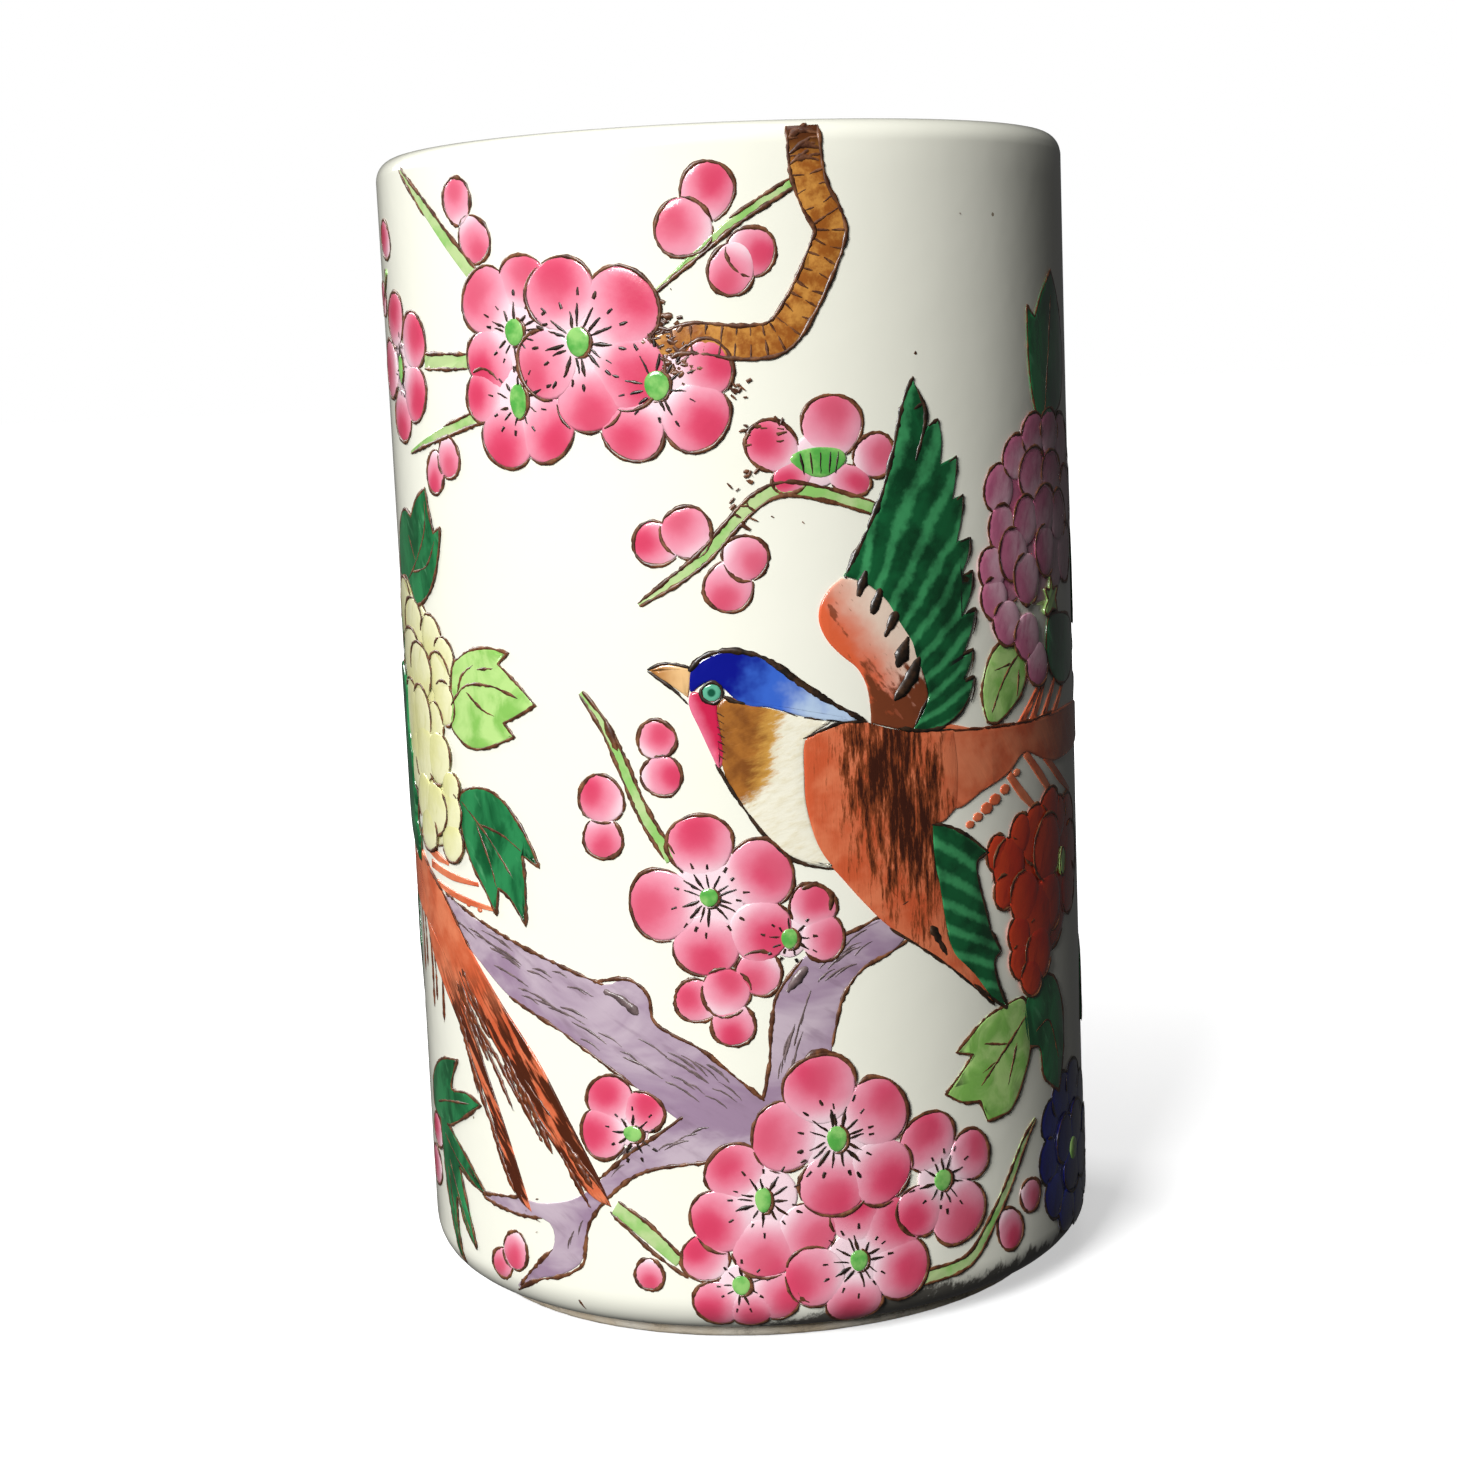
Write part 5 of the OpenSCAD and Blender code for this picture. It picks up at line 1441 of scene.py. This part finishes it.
for tip in tips:
    back, drop = (-1.2, -1.2) if tip[1] > 22 else (-1.5, -0.9)
    wing_lines.append(([tip, (tip[0] + back, tip[1] + drop * 0.5)], 0.6, 0.22))
    wing_lines.append(([tip, (tip[0] - 0.1, tip[1] - 1.4), (tip[0] - 0.6, tip[1] - 2.6)], 0.3, 0.2))
wing_lines.append(([(24.4, 4), (22.9, 2.5), (21, 1.5), (19.3, 1.2)], 0.32, 0.2))
wing_lines.append(([(18.9, 34.6), (19.8, 32.6), (19.8, 31.2), (19.4, 29.8), (18.6, 27.6)], 0.45, 0.22))
low_lines = [
    ([(19.1, -8.1), (21, -8.5), (23.3, -9.7), (26.4, -12)], 0.4, 0.2),
    ([(26.4, -12), (24.6, -12.7), (24.9, -15), (25.8, -18), (26.4, -20)], 0.34, 0.2),
    ([(26.4, -20), (27.9, -22.4)], 0.5, 0.2),
    ([(27.9, -22.4), (26.8, -23.2), (27.2, -25.5), (28.6, -28.3), (26.3, -26.9), (23.8, -25)], 0.4,
     0.2), ([(27.4, -25.6), (28.4, -28)], 0.6, 0.2)]
tail_lines = [
    ([(22, 60.9), (28, 60.6), (34, 60.4), (40, 60.6)], 0.3, 0.2),
    ([(-44, 47.4), (-38, 44), (-33, 39.2)], 0.3, 0.2), ([(-36, 34.6), (-32, 31), (-29, 28)], 0.4, 0.2)]
random.seed(29)
for _ in range(26):
    t = random.uniform(0.1, 0.9)
    start = np.array((-39, 38)) + (np.array((-19, 17)) - (-39, 38)) * t + np.array(
        (random.uniform(-1, 2), random.uniform(-0.5, 1.5)))
    end = start + (random.uniform(2.6, 4.2), -random.uniform(3.4, 6))
    tail_lines.append(([tuple(start), tuple(end)], random.uniform(0.3, 0.7), 0.19))
for _ in range(16):
    t = random.uniform(0, 0.85)
    start = np.array((-37, 33)) + (np.array((-28, 15)) - (-37, 33)) * t
    end = start + (random.uniform(1.2, 2.2), -random.uniform(2.4, 4.5))
    tail_lines.append(([tuple(start), tuple(end)], random.uniform(0.3, 0.6), 0.19))
hairs = [([(along, up), (along + 0.3, up - long / 2), (along + 0.1, up - long)], 0.5, 0.05)
         for along, up, long in ((-47.6, 42, 8), (-46, 41, 6), (-43.8, 40, 9), (-42.6, 37, 5),
                                 (-40.6, 39, 9))]
rust_ink = ink_finish("rust_ink", srgb(82, 36, 14), srgb(140, 72, 36))
head_jobs = put_lines(head_lines + belly_lines + low_lines)
wing_jobs = put_lines(wing_lines, raised_wing_places, wing_root)
draw_ink("bird_ink", head_jobs + wing_jobs, black_ink, "black_enamel", 51, ragged=0.3)
draw_ink("tail_ink", tail_lines + hairs, rust_ink, "umber_enamel", 52, ragged=0.5)

# ---- Specks and crumbs ----
# Stray flecks of ink and a brown crust left by the kiln and by use, round the high blossom.

crumbs = []
random.seed(37)
for along, up, reach, count in ((-6.4, 101.2, 1.9, 60), (-4.4, 97.8, 1.8, 50), (1, 95, 1.2, 10),
                                (2, 91, 1, 8), (1.5, 86.8, 1.6, 10), (0.5, 83.4, 1.2, 10),
                                (4.6, 91.6, 1.2, 8), (20, 44, 6, 5), (-26, 12, 3, 5)):
    fleck = reach ** 1.2 if reach < 2 else 0.6
    for _ in range(count):
        spot = (along + random.gauss(0, reach / 2), up + random.gauss(0, reach / 2))
        end = (spot[0] + random.uniform(-0.9, 0.9), spot[1] + random.uniform(-0.6, 0.6))
        crumbs.append(([spot, end], random.uniform(0.3, 0.7) * fleck, 0.2))
for along, up, size in ((3.7, 83.1, 0.6), (6.6, 82.4, 0.4), (18.9, 97.9, 0.9), (25, 111, 0.3),
                        (-5, 104.8, 0.3), (12.8, 92.4, 0.3), (3.2, 53, 0.7), (-18.4, 23.2, 0.5)):
    crumbs.append(([(along, up), (along + 0.2, up - 0.15)], size, 0.06))
crumbs.append(([(-20, 4.4), (-19.6, 3.2)], 0.45, 0.05))
draw_ink("kiln_specks", crumbs, brown_ink, "umber_enamel", 53)

# ---- Floor, light and camera ----
# A pale table top with a painted glow of its own, half strength by the pot and full far off, so that it
# runs off into white;
# a soft window light from the front left, a soft panel overhead and a third far round to the left, so
# that the right-hand side falls into shade.

bpy.ops.object.select_all(action="DESELECT")
bpy.ops.mesh.primitive_plane_add(size=12, location=(0, 0, cad_low.z))
table = bpy.context.object
table.name = "table_top"
table_white = Recipe("table_white", roughness=0.8)
table_grain = table_white.noise(0.01, detail=2)
table_white.colour(table_white.mix(table_grain, srgb(250, 250, 250), srgb(246, 246, 246)))
# Painted light: the table top glows by itself, at half strength by the pot and at full strength from 260
# mm out. The pot neither takes light from it nor reflects it.
out_along, out_back, _ = table_white.split(table_white.place())
table_painted_glow = table_white.between(table_white.far(out_along, out_back), 50, 260, 0.5, 1.0)
table_white.tree.links.new(table_painted_glow, table_white.shader.inputs["Emission Strength"])
table_white.shader.inputs["Emission Color"].default_value = srgb(255, 255, 255)
clad(table, table_white)
table.visible_diffuse = False
table.visible_glossy = False

studio = bpy.context.scene.world or bpy.data.worlds.new("studio")
bpy.context.scene.world = studio
studio.use_nodes = True
backdrop = studio.node_tree.nodes["Background"]
backdrop.inputs["Color"].default_value = (1, 1, 1, 1)
room_light = 0.035
room_gleam = 0.05
seen = studio.node_tree.nodes.new("ShaderNodeLightPath").outputs
backdrop_strength = studio.node_tree.nodes.new("ShaderNodeMath")
backdrop_strength.operation = "MULTIPLY_ADD"
backdrop_strength.inputs[1].default_value = room_gleam - room_light
backdrop_strength.inputs[2].default_value = room_light
backdrop_seen = studio.node_tree.nodes.new("ShaderNodeMath")
backdrop_seen.operation = "MAXIMUM"
studio.node_tree.links.new(seen["Is Glossy Ray"], backdrop_strength.inputs[0])
studio.node_tree.links.new(seen["Is Camera Ray"], backdrop_seen.inputs[0])
studio.node_tree.links.new(backdrop_strength.outputs[0], backdrop_seen.inputs[1])
studio.node_tree.links.new(backdrop_seen.outputs[0], backdrop.inputs["Strength"])

middle = (cad_low + cad_high) / 2


def soft_light(name, away, azimuth, rise, size, power):
    """A square soft light aimed at the pot: azimuth 0 is in front, and it grows to the right."""
    light = bpy.data.lights.new(name, "AREA")
    light.size = size
    light.energy = power
    lamp = bpy.data.objects.new(name, light)
    bpy.context.collection.objects.link(lamp)
    round_by, up_by = math.radians(azimuth), math.radians(rise)
    ray = Vector((math.sin(round_by) * math.cos(up_by), -math.cos(round_by) * math.cos(up_by),
                  math.sin(up_by)))
    lamp.location = middle + away * ray
    lamp.rotation_euler = (-ray).to_track_quat("-Z", "Y").to_euler()


soft_light("window", 1.3, -27, 26, 0.45, 22)
soft_light("overhead", 1.0, -60, 80, 0.8, 2.4)
soft_light("far_left", 1.3, -125, 26, 0.6, 9)

view_data = bpy.data.cameras.new("view")
view_data.lens = 64.37
view_data.sensor_width = 36
view_data.clip_start = 0.01
camera = bpy.data.objects.new("view", view_data)
bpy.context.collection.objects.link(camera)
camera_away, camera_up = 7.83 * pot_r / MM, 2.724 * pot_r / MM
look_down, look_left, lean = math.radians(8.205), math.radians(0.286), math.radians(2.441)
camera.rotation_mode = "QUATERNION"
camera.location = (0, -camera_away, camera_up)
gaze = Vector((-math.sin(look_left) * math.cos(look_down),
               math.cos(look_left) * math.cos(look_down), -math.sin(look_down)))
level = Vector((math.cos(look_left), math.sin(look_left), 0))
upright = level.cross(gaze)
rightward = math.cos(lean) * level - math.sin(lean) * upright
upright = rightward.cross(gaze)
camera.rotation_quaternion = Matrix((rightward, upright, -gaze)).transposed().to_quaternion()
bpy.context.scene.camera = camera
bpy.context.scene.view_settings.view_transform = "Standard"
